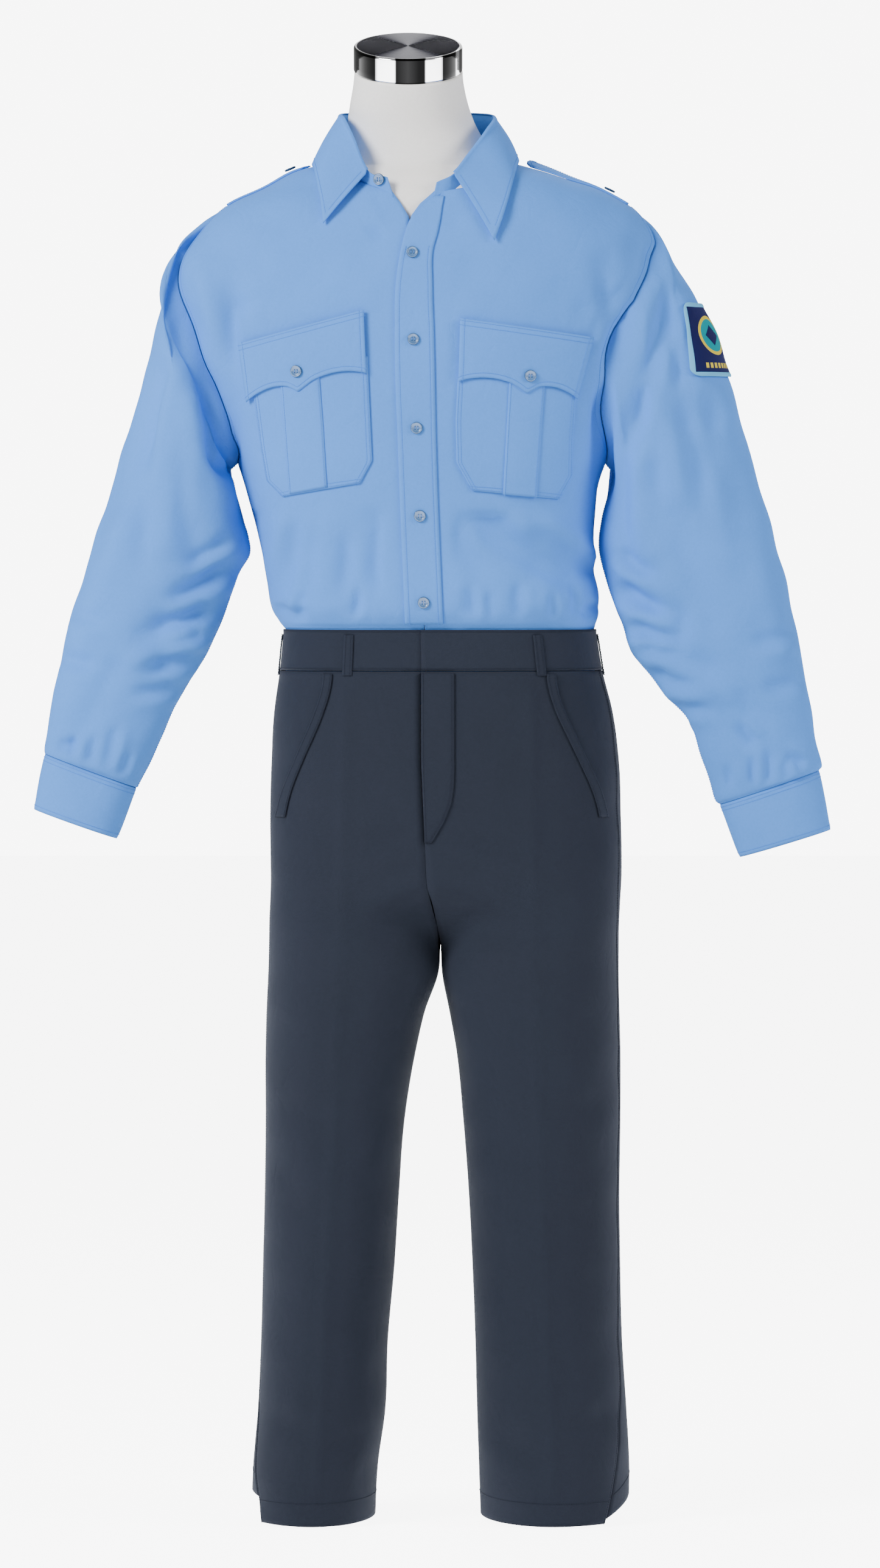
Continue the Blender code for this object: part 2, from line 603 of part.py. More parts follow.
def grid_normals(points, closed=False):
    """Outward-or-inward normals of a grid of points, by differences between neighbours."""
    down = np.gradient(points, axis=0)
    if closed:
        across = np.roll(points, -1, axis=1) - np.roll(points, 1, axis=1)
    else:
        across = np.gradient(points, axis=1)
    return unit(np.cross(down, across))


def trim(points, start=0.0, end=0.0):
    """Moves a grid's first and last column in along the surface, to leave the gap of a seam."""
    points = points.copy()
    points[:, 0] += unit(points[:, 1] - points[:, 0]) * start
    points[:, -1] += unit(points[:, -2] - points[:, -1]) * end
    return points


def body_rows():
    """TRUNK rows of the body's grid: even above the armhole, close at its ends, even below it."""
    neck = np.linspace(SHOULDER_ROW, ARM_TOP, NECK_ROWS + 1)
    turn = np.linspace(0, math.pi, ARM_ROWS + 1)
    armhole = (ARM_TOP + ARM_BOTTOM) / 2 - (ARM_BOTTOM - ARM_TOP) / 2 * np.cos(turn)
    return np.concatenate([neck, armhole[1:], ROWS_BELOW_ARM])


BODY_ROWS = body_rows()


def front_grid(side, columns=12):
    """Rows and angles of one front's grid, side line or armhole first, middle line last."""
    column_edge, column_armhole, side_angle = (1, 0, 180.0) if side == "left" else (2, 2, 360.0)
    share = np.linspace(0, 1, columns)[None, :]
    rows = np.repeat(BODY_ROWS[:, None], columns, axis=1)
    edge_table = FRONT_EDGE[:, [0, column_edge]]
    turn = 1.0 if side == "left" else -1.0
    angles = None
    for _ in range(6):
        z, left, right, _, _, power = np.moveaxis(trunk_sections(rows), -1, 0)
        order = edge_table[::-1]
        edge_x = np.interp(z, order[:, 0], order[:, 1])
        edge_angle = section_angle(left, right, power, edge_x, FRONT)
        start = side_angle + turn * armhole_edge(rows, column_armhole)
        angles = start + (edge_angle - start) * share
        neck_row = np.interp(angles[0], NECK_SEAM[:, 0], NECK_SEAM[:, 1])
        share_down = np.clip((BODY_ROWS[:, None] - SHOULDER_ROW) / (NECK_FREE_ROW - SHOULDER_ROW), 0, 1)
        rows = np.maximum(lerp(neck_row[None, :], NECK_FREE_ROW, share_down), BODY_ROWS[:, None])
    return rows, angles


def back_grid(columns=15):
    share = np.linspace(0, 1, columns)[None, :]
    rows = np.repeat(BODY_ROWS[:, None], columns, axis=1)
    start = 180 - armhole_edge(rows, 1)
    end = armhole_edge(rows, 3)
    return rows, start + (end - start) * share


def body_panel(name, rows, angles):
    outer = trim(trunk_point(rows, angles), SEAM_GAP / 2, SEAM_GAP / 2)
    inner = trim(trunk_point(rows, angles, np.full(rows.shape, -SHIRT_WALL)), SEAM_GAP / 2, SEAM_GAP / 2)
    return shell(name, outer, inner, "shirt")


def make_shirt_body():
    for side in ("left", "right"):
        rows, angles = front_grid(side)
        body_panel(f"shirt_front_{side}", rows, angles)
    rows, angles = back_grid()
    split = YOKE_ROW_INDEX
    yoke_rows, back_rows = rows[: split + 1].copy(), rows[split:].copy()
    yoke_rows[-1] -= 0.005
    back_rows[0] += 0.005
    body_panel("shirt_yoke", yoke_rows, angles[: split + 1])
    body_panel("shirt_back", back_rows, angles[split:])


def armhole_loop(side):
    """The armhole's edge as a loop of points: from the top down the front and up the back."""
    front_rows, front_angles = front_grid(side)
    back_rows, back_angles = back_grid()
    back_column = 0 if side == "left" else -1
    span = slice(NECK_ROWS, NECK_ROWS + ARM_ROWS + 1)
    front = trunk_point(front_rows[span, 0], front_angles[span, 0])
    back = trunk_point(back_rows[span, back_column], back_angles[span, back_column])
    loop = np.concatenate([front, back[-2:0:-1]])
    centre = loop.mean(axis=0)
    apart = np.sign(centre[1] - loop[:, 1])
    apart[[0, len(loop) // 2]] = 0
    loop = loop + unit(centre - loop) * (4 * SEAM_GAP)
    loop[:, 1] += apart * (2 * SEAM_GAP)
    return loop


def tube_ring(section, count):
    """One sleeve or cuff section: starts at the outer line and goes round by the front."""
    x_out, z_out, x_in, z_in, front, back = section
    turn = np.linspace(0, 2 * math.pi, count, endpoint=False)
    c = signed_power(np.cos(turn), 2 / SLEEVE_ROUNDNESS)
    s = signed_power(np.sin(turn), 2 / SLEEVE_ROUNDNESS)
    middle = np.array([(x_out + x_in) / 2, (front + back) / 2, (z_out + z_in) / 2])
    across = np.array([x_out - x_in, 0, z_out - z_in]) / 2
    return middle + c[:, None] * across + s[:, None] * np.array([0, -(back - front) / 2, 0])


def sleeve_outer(side):
    loop = armhole_loop(side)
    count = len(loop)
    top, bottom = loop[0], loop[count // 2]
    head = (top[0], top[2], bottom[0], bottom[2], loop[:, 1].min(), loop[:, 1].max())
    bulge = loop - tube_ring(head, count)
    tubes = np.array([tube_ring(section, count) for section in [head, *SLEEVE[side]]])
    left_over = 1 - smoothstep(np.arange(len(tubes)) / SLEEVE_HEAD_ROWS)
    grid = tubes + bulge * left_over[:, None, None]
    turn = np.linspace(0, 2 * math.pi, count, endpoint=False)
    facing = np.broadcast_to(-np.sin(turn), grid.shape[:2])
    fade = smoothstep(np.abs(np.sin(turn)) / 0.5)[None, :] * np.ones((len(grid), 1))
    fade[0] = 0
    fade[-1] = 0
    height = fold_height(grid[..., 0], grid[..., 2], facing, SLEEVE_FOLDS[side]) * fade
    normals = outward_normals(grid)
    return grid + normals * height[..., None]


def outward_normals(grid):
    """Normals of a tube's grid that point away from its middle."""
    normals = grid_normals(grid, closed=True)
    middle = grid.mean(axis=1, keepdims=True)
    inward = (normals * (grid - middle)).sum(axis=-1).mean() < 0
    return -normals if inward else normals


def make_sleeve(side):
    outer = sleeve_outer(side)
    inner = outer - outward_normals(outer) * SHIRT_WALL
    shell(f"sleeve_{side}", outer, inner, "shirt", closed=True)
    cuff_outer = np.array([tube_ring(section, CUFF_POINTS) for section in CUFF[side]])
    cuff_inner = cuff_outer - outward_normals(cuff_outer) * CUFF_WALL
    shell(f"cuff_{side}", cuff_outer, cuff_inner, "shirt", closed=True)


def make_collar():
    stations = smooth_curve(numbered(COLLAR_STAND))
    count = 25
    at = np.linspace(0, len(COLLAR_STAND) - 1, count)
    points = stations(at)
    seam, top = points[:, :3], points[:, 3:]
    outward = unit(np.cross(top - seam, np.gradient(seam, axis=0)))
    outward = outward * np.sign(outward[count // 2, 1])
    up = unit(top - seam)
    low = seam + up * STAND_RISE
    along = unit(np.gradient(top, axis=0))
    slant = np.linalg.norm(up - (up * along).sum(axis=-1, keepdims=True) * along, axis=-1, keepdims=True)
    high = top - up * (COLLAR_WALL + 3 * SEAM_GAP) / np.maximum(slant, 0.3)
    stand_outer = np.array([low, lerp(low, high, 0.5), high])
    stand_inner = stand_outer - outward[None] * COLLAR_WALL
    shell("collar_stand", stand_outer, stand_inner, "shirt")

    edges = smooth_curve(numbered(COLLAR_EDGE))
    edge_at = np.linspace(0, len(COLLAR_EDGE) - 1, 21)
    edge = edges(edge_at)
    points = stations(edge_at + 1)
    seam, top = points[:, :3], points[:, 3:]
    outward = unit(np.cross(top - seam, np.gradient(seam, axis=0)))
    outward = outward * np.sign(outward[10, 1])
    rows = [top + outward * out + np.array([0, 0, rise]) for out, rise in COLLAR_ROLL]
    turned = rows[-1]
    for share in (0.34, 0.67, 1.0):
        rows.append(lerp(turned, edge, share) + outward * COLLAR_BULGE * math.sin(math.pi * share))
    outer = np.array(rows)
    normals = grid_normals(outer)
    facing = (normals[-2] * outward).sum(axis=-1).mean()
    normals = normals * np.sign(facing)
    shell("collar_fall", outer, outer - normals * COLLAR_WALL, "shirt")
    return stations


def front_patch(name, rows, columns, bottom, top, slot="shirt", bend=None):
    """A piece on the shirt's front from rows of left and right ends, between two lifts."""
    table = numbered(rows)
    down = np.linspace(0, len(rows) - 1, 4 if len(rows) == 2 else 7)
    ends = np.array([[np.interp(d, table[:, 0], table[:, k]) for k in range(1, 5)] for d in down])
    share = np.linspace(0, 1, columns)[None, :]
    x = lerp(ends[:, 0:1], ends[:, 2:3], share)
    z = lerp(ends[:, 1:2], ends[:, 3:4], share)
    if bend is not None:
        z = z + bend(share) * (np.arange(len(down)) / (len(down) - 1))[:, None] ** 2
    outer, inner = on_front(x, z, top), on_front(x, z, bottom)
    return shell(name, outer, inner, slot)


def flap_edge(point):
    """How the flap's lower edge departs from a straight line: two scallops and a middle point."""
    def bend(share):
        half = np.where(share < point, share / point, (1 - share) / (1 - point))
        return FLAP_SCALLOP * np.sin(math.pi * half) ** 0.8 * (half > 0) - FLAP_TIP * smoothstep(half * 4 - 3)
    return bend


def button_mesh(name, place, normal, sides=10):
    """A round button with a raised rim and a shallow dish, on a point of the cloth with its gap."""
    normal = unit(np.asarray(normal, float))
    across = unit(np.cross(normal, np.array([0.0, 0.0, 1.0])))
    upward = np.cross(across, normal)
    turn = np.linspace(0, 2 * math.pi, sides, endpoint=False)
    circle = np.cos(turn)[:, None] * across + np.sin(turn)[:, None] * upward
    rings = [place + circle * (BUTTON_RADIUS - narrower) + normal * (height + SEAM_GAP)
             for narrower, height in BUTTON_PROFILE]
    return solid_of_rings(name, np.array(rings), "button")


def make_front_details(stations):
    heights = np.concatenate([np.linspace(PLACKET[0, 0], 1015, 17), PLACKET_HEM])
    edges = smooth_curve(PLACKET)(heights)
    x = lerp(edges[:, 0:1], edges[:, 1:2], np.linspace(0, 1, 3)[None, :])
    z = np.repeat(heights[:, None], 3, axis=1)
    placket_top = PLACKET_LIFT + SHIRT_WALL
    shell("shirt_placket", on_front(x, z, placket_top), on_front(x, z, PLACKET_LIFT), "shirt")
    for number, (x, z) in enumerate(PLACKET_BUTTONS, 1):
        place = on_front(np.array(x), np.array(z), placket_top + BUTTON_LIFT)
        button_mesh(f"button_front_{number}", place, front_normal(np.array(x), np.array(z)))

    body_top = POCKET_LIFT + SHIRT_WALL
    pleat_top = body_top + SEAM_GAP + SHIRT_WALL
    flap_low = pleat_top + SEAM_GAP
    flap_top = flap_low + COLLAR_WALL
    for side in ("left", "right"):
        front_patch(f"pocket_{side}", POCKET_BODY[side], 11, POCKET_LIFT, body_top)
        front_patch(f"pocket_pleat_{side}", POCKET_PLEAT[side], 5, body_top + SEAM_GAP, pleat_top)
        front_patch(f"pocket_flap_{side}", POCKET_FLAP[side], 15, flap_low, flap_top,
                    bend=flap_edge(FLAP_POINT[side]))
        x, z = FLAP_BUTTON[side]
        place = on_front(np.array(x), np.array(z), flap_top + BUTTON_LIFT)
        button_mesh(f"button_pocket_{side}", place, front_normal(np.array(x), np.array(z)))

    station = stations(np.array(STAND_BUTTON))
    ahead = stations(np.array(STAND_BUTTON + 0.1))
    seam, top = station[:3], station[3:]
    outward = unit(np.cross(top - seam, ahead[:3] - seam))
    outward = outward if outward[1] < 0 else -outward
    button_mesh("button_collar", lerp(seam, top, 0.55) + outward * 0.2, outward)


def make_epaulette(side):
    first, last, lift_neck, lift_arm = EPAULETTE[side]
    along = np.linspace(0, 1, 8)[:, None]
    across = np.linspace(-1, 1, 5)[None, :]
    narrow = np.where(along < 0.1, 0.62, 1.0)
    rows = lerp(first, last, along) + (across**2) * 0.12 * (along < 0.05)
    _, _, _, front, back, power = np.moveaxis(trunk_sections(rows), -1, 0)
    y = across * EPAULETTE_HALF_WIDTH * narrow
    depth = np.where(y < 0, -front, back)
    turn = np.degrees(np.arcsin((np.abs(y) / depth) ** (power / 2))) * np.sign(y)
    angles = 180 - turn if side == "left" else turn
    lift = lerp(lift_neck, lift_arm, smoothstep(along * 1.2)) * np.ones_like(angles)
    outer = trunk_point(rows, angles, lift + EPAULETTE_WALL)
    inner = trunk_point(rows, angles, lift)
    shell(f"epaulette_{side}", outer, inner, "shirt")

    row = np.array(EPAULETTE_BUTTON_ROW[side])
    angle = np.array(180.0 if side == "left" else 0.0)
    share = (EPAULETTE_BUTTON_ROW[side] - first) / (last - first)
    height = lerp(lift_neck, lift_arm, smoothstep(share * 1.2)) + EPAULETTE_WALL
    button_mesh(f"button_epaulette_{side}", trunk_point(row, angle, height + 0.5), trunk_normals(row, angle))


def badge_place(grid, down, share, steps):
    """Rows and columns of the sleeve's grid under the badge, which is level at its top and bottom."""
    count = grid.shape[1]
    edges = lerp(BADGE_ANGLES[0], BADGE_ANGLES[1], down[..., None])
    columns = lerp(edges[..., 0], edges[..., 1], share) / 360 * count
    j = np.floor(columns).astype(int)
    near = np.arange(BADGE_FIRST_ROW * steps, BADGE_LAST_ROW * steps)
    lines = lerp(grid[near][:, j % count, 2], grid[near][:, (j + 1) % count, 2], columns - j)
    heights = lerp(BADGE_HEIGHTS[0], BADGE_HEIGHTS[1], down) * np.ones_like(share)
    rows = np.empty_like(columns)
    for m, n in np.ndindex(rows.shape):
        rows[m, n] = np.interp(-heights[m, n], -lines[:, m, n], near)
    return rows, columns


def make_badge():
    """The sleeve badge: a patch with rounded corners that follows the sleeve."""
    grid = sleeve_outer("right")
    normals = outward_normals(grid)
    count = grid.shape[1]
    down = np.linspace(0, 1, 7)[:, None]
    across = np.linspace(0, 1, 7)[None, :]
    edge = np.minimum(down, 1 - down) * BADGE_LENGTH
    pull = BADGE_CORNER - np.sqrt(np.maximum(BADGE_CORNER**2 - np.maximum(BADGE_CORNER - edge, 0) ** 2, 0))
    share = lerp(pull / BADGE_WIDTH, 1 - pull / BADGE_WIDTH, across)
    rows, angles = badge_place(grid, down, share, 1)

    def at(field):
        i = np.floor(rows).astype(int)
        j = np.floor(angles).astype(int)
        u, v = (rows - i)[..., None], (angles - j)[..., None]
        a, b = field[i, j % count], field[i, (j + 1) % count]
        c, d = field[i + 1, j % count], field[i + 1, (j + 1) % count]
        return lerp(lerp(a, b, v), lerp(c, d, v), u)

    base, out = at(grid), unit(at(normals))
    shell("sleeve_badge", base + out * (BADGE_LIFT + BADGE_WALL), base + out * BADGE_LIFT, "badge")


def make_cuff_button(side):
    ring_top, ring_bottom = (tube_ring(CUFF[side][k], CUFF_POINTS) for k in (0, 2))
    place = (ring_top[CUFF_BUTTON_POINT] + ring_bottom[CUFF_BUTTON_POINT]) / 2
    middle = (ring_top.mean(axis=0) + ring_bottom.mean(axis=0)) / 2
    normal = unit(place - middle)
    button_mesh(f"button_cuff_{side}", place + normal * CUFF_BUTTON_LIFT, normal)


def trouser_point(panel, side, share, z, lift=0.0):
    """Point of a trouser panel: share runs from the outer seam to the middle or inner seam."""
    base = trouser_base(panel, side, share, z)
    face = FRONT if panel == "front" else BACK
    fade = smoothstep(np.abs(base[..., 1]) / 30.0)
    height = fold_height(base[..., 0], base[..., 2], face * np.ones_like(base[..., 0]), TROUSER_FOLDS) * fade
    normal = surface_normals(lambda p, q: trouser_base(panel, side, p, q * 100), share, z / 100)
    if (panel == "front") != (side == "left"):
        normal = -normal
    return base + normal * (height + lift)[..., None]


def trouser_base(panel, side, share, z):
    face = FRONT if panel == "front" else BACK
    hip_left, hip_right, hip_front, hip_back, hip_power = np.moveaxis(hip_sections(z), -1, 0)
    order = MIDDLE_SEAM[::-1]
    middle_x = np.interp(z, order[:, 0], order[:, 1 if face == FRONT else 2])
    gap = SEAM_GAP / 2 * (-1 if side == "left" else 1)
    middle_angle = section_angle(hip_left, hip_right, hip_power, middle_x + gap, face)
    order = OUTER_SEAM[::-1]
    outer = np.interp(z, order[:, 0], order[:, 1 if side == "left" else 2])
    if face == BACK and side == "right":
        outer = outer - 360
    hip_x, hip_y = section_point(hip_left, hip_right, hip_front, hip_back, hip_power,
                                 lerp(outer, middle_angle, share))
    columns = np.moveaxis(leg_sections(z), -1, 0)
    left, right = (columns[0], columns[1]) if side == "left" else (columns[2], columns[3])
    inner = {("front", "left"): 360.0, ("back", "left"): 0.0}.get((panel, side), 180.0)
    leg_x, leg_y = section_point(left, right, columns[4], columns[5], columns[6], lerp(outer, inner, share))
    blend = smoothstep((CROTCH_TOP - z) / (CROTCH_TOP - CROTCH))
    return np.stack([lerp(hip_x, leg_x, blend), lerp(hip_y, leg_y, blend), z + 0 * hip_x], axis=-1)


def make_trouser_panel(panel, side, columns=7):
    rows = np.array(TROUSER_ROWS[::-1], float)
    share = np.linspace(0, 1, columns)[None, :] * np.ones((len(rows), 1))
    hem = np.array(HEM[panel, side], float)
    rise = np.interp(share, hem[:, 0], hem[:, 1])
    bend = np.clip(1 - rows / HEM_BEND, 0, 1)[:, None]
    z = rows[:, None] + rise * bend
    outer = trim(trouser_point(panel, side, share, z), 1.5 * SEAM_GAP, SEAM_GAP / 2)
    inner = trouser_point(panel, side, share, z, np.full(z.shape, -TROUSER_WALL))
    inner = trim(inner, 1.5 * SEAM_GAP, SEAM_GAP / 2)
    keep = np.minimum if side == "left" else np.maximum
    inner[:, -2:, 0] = keep(inner[:, -2:, 0], outer[:, -1:, 0])
    shell(f"trouser_{panel}_{side}", outer, inner, "trousers")


def hip_point(angle, z, lift):
    left, right, front, back, power = np.moveaxis(hip_sections(z), -1, 0)
    x, y = section_point(left, right, front, back, power, angle)
    step_x, step_y = section_point(left, right, front, back, power, angle + 0.5)
    normal = unit(np.stack([step_y - y, x - step_x, 0 * x], axis=-1))
    return np.stack([x, y, z + 0 * x], axis=-1) + normal * lift


def make_waistband():
    front_left, front_right, _, _, power = hip_sections(np.array(946.0))
    start = float(section_angle(front_left, front_right, power, MIDDLE_SEAM[0, 1], FRONT))
    angle = np.linspace(start + 0.12, start + 359.88, 37)[None, :] * np.ones((2, 1))
    z = np.linspace(WAISTBAND_TOP, WAISTBAND_BOTTOM, 2)[:, None] * np.ones_like(angle)
    shell("waistband", hip_point(angle, z, 0.0), hip_point(angle, z, -WAISTBAND_WALL), "trousers")


def make_belt_loops():
    arch = np.array(BELT_LOOP_ARCH)[:, None, None]
    for name, angle in BELT_LOOPS:
        z = np.linspace(BELT_LOOP_TOP, BELT_LOOP_BOTTOM, 5)[:, None] * np.ones((1, 2))
        half = np.degrees(BELT_LOOP_HALF_WIDTH / 150.0)
        angles = np.array([[angle - half, angle + half]]) * np.ones((5, 1))
        outer = hip_point(angles, z, arch + BELT_LOOP_WALL)
        shell(f"belt_loop_{name}", outer, hip_point(angles, z, arch), "trousers")


def make_trouser_details():
    """The fly's overlap on the front and the two slanted pocket edges."""
    z = np.linspace(FLY[0, 0], FLY[-1, 0], 10)[:, None] * np.ones((1, 3))
    width = np.interp(z, FLY[::-1, 0], FLY[::-1, 1])
    middle = np.interp(z, MIDDLE_SEAM[::-1, 0], MIDDLE_SEAM[::-1, 1])
    x = middle + width * np.linspace(0.01, 1, 3)[None, :]
    shell("trouser_fly", on_trousers(x, z, SEAM_GAP + TROUSER_WALL), on_trousers(x, z, SEAM_GAP), "trousers")
    for side, top_z, top_x, end_z, end_x in POCKET_EDGES:
        z = np.linspace(top_z, end_z, 8)[:, None] * np.ones((1, 2))
        slant = smoothstep(np.linspace(0, 0.9, 8))[:, None] ** 0.9
        x = lerp(top_x, end_x, slant) + POCKET_EDGE_HALF_WIDTH * np.array([[-1, 1]])
        outer = on_trousers(x, z, POCKET_EDGE_LIFT + POCKET_EDGE_WALL)
        shell(f"trouser_pocket_edge_{side}", outer, on_trousers(x, z, POCKET_EDGE_LIFT), "trousers")


def on_trousers(x, z, lift):
    """Point of the trousers' front above the crotch, seen at (x, z) and moved out."""
    left, right, _, _, power = np.moveaxis(hip_sections(z), -1, 0)
    angle = section_angle(left, right, power, x, FRONT)
    folds = fold_height(x, z, np.full_like(x, FRONT), TROUSER_FOLDS)
    return hip_point(angle, z, (folds + lift)[..., None])


def form_ring(centre, half_width, half_depth, tilt, count):
    turn = np.linspace(0, 2 * math.pi, count, endpoint=False)
    ring = np.stack([half_width * np.cos(turn), half_depth * np.sin(turn), 0 * turn], axis=-1)
    angle = math.radians(tilt)
    tilted = np.stack([ring[:, 0], ring[:, 1] * math.cos(angle), ring[:, 1] * math.sin(angle)], axis=-1)
    return np.asarray(centre) + tilted


def make_form(count=24):
    degrees = np.linspace(0, 360, count, endpoint=False)
    rings = [form_ring(row[:3], row[3], row[4], row[5], count) for row in NECK_RINGS]
    insets = smooth_curve(FORM_INSET)
    for row in FORM_TRUNK_ROWS:
        rows = np.full(count, row)
        inset = insets(rows)[:, 0]
        rings.append(trunk_base(rows, degrees) - trunk_normals(rows, degrees) * inset[:, None])
    for z, inset in zip(FORM_HIP_ROWS, FORM_HIP_INSET):
        rings.append(hip_point(degrees, np.full(count, z), -inset))
    solid_of_rings("form_body", np.array(rings), "form")


def solid_of_rings(name, rings, slot):
    """A closed solid through rings of points, with a flat face at each end."""
    count = rings.shape[1]
    faces = grid_faces(len(rings), count, 0, True, False)
    last = (len(rings) - 1) * count
    faces.append(list(range(count))[::-1])
    faces.append([last + k for k in range(count)])
    made = oriented(make_object(name, rings.reshape(-1, 3), faces, slot))
    made.data.shade_smooth()
    return made


def make_cap(count=32):
    angle = math.radians(CAP_TILT)
    axis = np.array([0, -math.sin(angle), math.cos(angle)])
    centre = np.array(CAP_CENTRE)
    rings = []
    for down, narrower in CAP_PROFILE:
        radius = CAP_RADIUS - narrower
        rings.append(form_ring(centre - axis * down, radius, radius, CAP_TILT, count))
    solid_of_rings("neck_cap", np.array(rings), "chrome")


def make_stands(count=16):
    for side, (x, y) in STAND_PLACES.items():
        rings = [form_ring((x, y, z), wide, deep, 0.0, count) for z, wide, deep in STAND_PROFILE]
        solid_of_rings(f"stand_{side}", np.array(rings), "stand")


def main():
    for old in list(bpy.data.objects):
        bpy.data.objects.remove(old)
    make_shirt_body()
    stations = make_collar()
    make_front_details(stations)
    for side in ("left", "right"):
        make_sleeve(side)
        make_cuff_button(side)
        make_epaulette(side)
        for panel in ("front", "back"):
            make_trouser_panel(panel, side)
    make_badge()
    make_waistband()
    make_belt_loops()
    make_trouser_details()
    make_form()
    make_cap()
    make_stands()


main()
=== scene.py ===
"""Dress of the security guard uniform: shirt and trousers on a limbless dress form.

Every table and length below is in millimetres (angles in degrees); MM turns them into metres when a
mesh is made. Each cloth piece is a wall between two fine grids of points on the same rounded sections
as its solid, with creases added, and it replaces that solid. Stitches follow lines on those grids.
"""

import math

import bmesh
import bpy
import mathutils
import numpy as np
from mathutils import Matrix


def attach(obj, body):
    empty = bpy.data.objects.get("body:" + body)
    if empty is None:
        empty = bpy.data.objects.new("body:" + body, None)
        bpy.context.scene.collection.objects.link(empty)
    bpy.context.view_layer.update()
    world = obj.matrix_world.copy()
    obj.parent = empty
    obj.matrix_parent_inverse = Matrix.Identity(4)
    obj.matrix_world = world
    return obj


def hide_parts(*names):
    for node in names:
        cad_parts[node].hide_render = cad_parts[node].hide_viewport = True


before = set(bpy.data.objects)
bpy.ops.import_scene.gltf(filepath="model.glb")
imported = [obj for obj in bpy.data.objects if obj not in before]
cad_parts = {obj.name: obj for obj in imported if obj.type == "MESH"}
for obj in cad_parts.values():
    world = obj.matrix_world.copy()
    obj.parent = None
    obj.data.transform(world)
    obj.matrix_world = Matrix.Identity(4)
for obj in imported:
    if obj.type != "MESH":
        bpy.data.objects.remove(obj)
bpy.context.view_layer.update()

bl_info = {
    "name": "Security guard uniform",
    "version": (1, 0, 0),
    "blender": (4, 5, 0),
    "location": "3D View > Sidebar > Uniform",
    "description": "Dresses the packed frame in a uniform shirt and trousers on a dress form",
    "category": "Object",
}

MM = 0.001

SEAM_GAP = 0.3
SHIRT_WALL = 1.2
PLACKET_LIFT, POCKET_LIFT = 0.5, 0.7
COLLAR_WALL = 1.4
CUFF_WALL = 2.0
TROUSER_WALL = 1.6
WAISTBAND_WALL = 2.2

FRONT, BACK = -1.0, 1.0


def seen_from(front, back):
    """A table of folds or creases with the side that each lies on as its last column."""
    return np.array([(*row, FRONT) for row in front] + [(*row, BACK) for row in back])


# The shirt's body, neck to tail: height, left and right side, front and back, roundness of the section.
TRUNK = np.array([
    (1492, -86, 48, -48, 72, 2),
    (1479, -106, 72, -66, 82, 2),
    (1466, -148, 122, -82, 92, 2.1),
    (1449, -183, 176, -93, 102, 2.2),
    (1430, -220, 213, -102, 110, 2.3),
    (1406, -248, 237, -110, 117, 2.35),
    (1380, -267, 250, -117, 123, 2.4),
    (1346, -280, 260, -122, 127, 2.45),
    (1300, -268, 243, -126, 129, 2.5),
    (1235, -245, 216, -128, 128, 2.5),
    (1165, -216, 192, -127, 124, 2.5),
    (1105, -197, 178, -122, 118, 2.5),
    (1050, -183, 174, -118, 115, 2.5),
    (1010, -177.5, 180.5, -119, 118, 2.5),
    (991, -174, 180.5, -117.5, 117, 2.5),
    (979, -167, 178.5, -112, 112.5, 2.5),
    (973, -161.5, 177, -106.5, 107.5, 2.5),
    (968, -158.5, 175.5, -104.5, 105.5, 2.5),
    (950, -158.5, 175.5, -104.5, 105.5, 2.5),
    (890, -161, 179, -106, 108, 2.5),
])
SHOULDER_ROW, ARM_TOP, ARM_BOTTOM, TAIL_ROW = 1.0, 4.1, 10.25, 19.0
NECK_ROWS, ARM_ROWS = 5, 12
ROWS_BELOW_ARM = [10.8, 11.5, 12.3, 13.1, 13.8, 14.5, 15.1, 15.6, 16.1, 17, TAIL_ROW]
NECK_FREE_ROW = 7.0
YOKE_ROW_INDEX = 9

# Half opening of each armhole, as an angle from the side line, against the fraction of its height.
ARMHOLE = np.array([
    (0, 0, 0, 0, 0),
    (0.1, 6, 14, 8, 14),
    (0.25, 8, 26, 13, 24),
    (0.4, 12, 32, 25, 30),
    (0.6, 18, 34, 35, 32),
    (0.8, 20, 28, 33, 26),
    (0.93, 13, 16, 18, 15),
    (1, 0, 0, 0, 0),
])

# Height, then where the left and the right front end: the open neck above, the middle line below.
FRONT_EDGE = np.array([
    (1450, -52, 10),
    (1440, -42, 1),
    (1428, -33, -13),
    (1414, -25, -23),
    (1400, -21.6, -21.3),
    (1282, -20.3, -20),
    (1187, -16.8, -16.5),
    (1093, -13.4, -13.1),
    (1000, -9.3, -9),
    (890, -5.3, -5),
])
# Where the neck seam crosses the body, as a row of TRUNK against the angle round it (270 is the front).
NECK_SEAM = np.array([
    (90, 1), (180, 1), (205, 1.15), (225, 1.7), (243, 2.6), (258, 3.35),
    (272, 3.45), (290, 2.9), (310, 1.9), (335, 1.15), (360, 1),
])

PLACKET = np.array([
    (1436, 3, 13),
    (1425, -10.5, 11),
    (1411, -23, 9),
    (1396, -29, 6),
    (1380, -33, 1.5),
    (1340, -39, 0.5),
    (1290, -40, 2),
    (1150, -36, 5),
    (977, -29, 12),
])
PLACKET_BUTTONS = [(-21.0, 1375.0), (-20.0, 1282.0), (-16.5, 1187.0), (-13.0, 1093.0), (-9.0, 1000.0)]

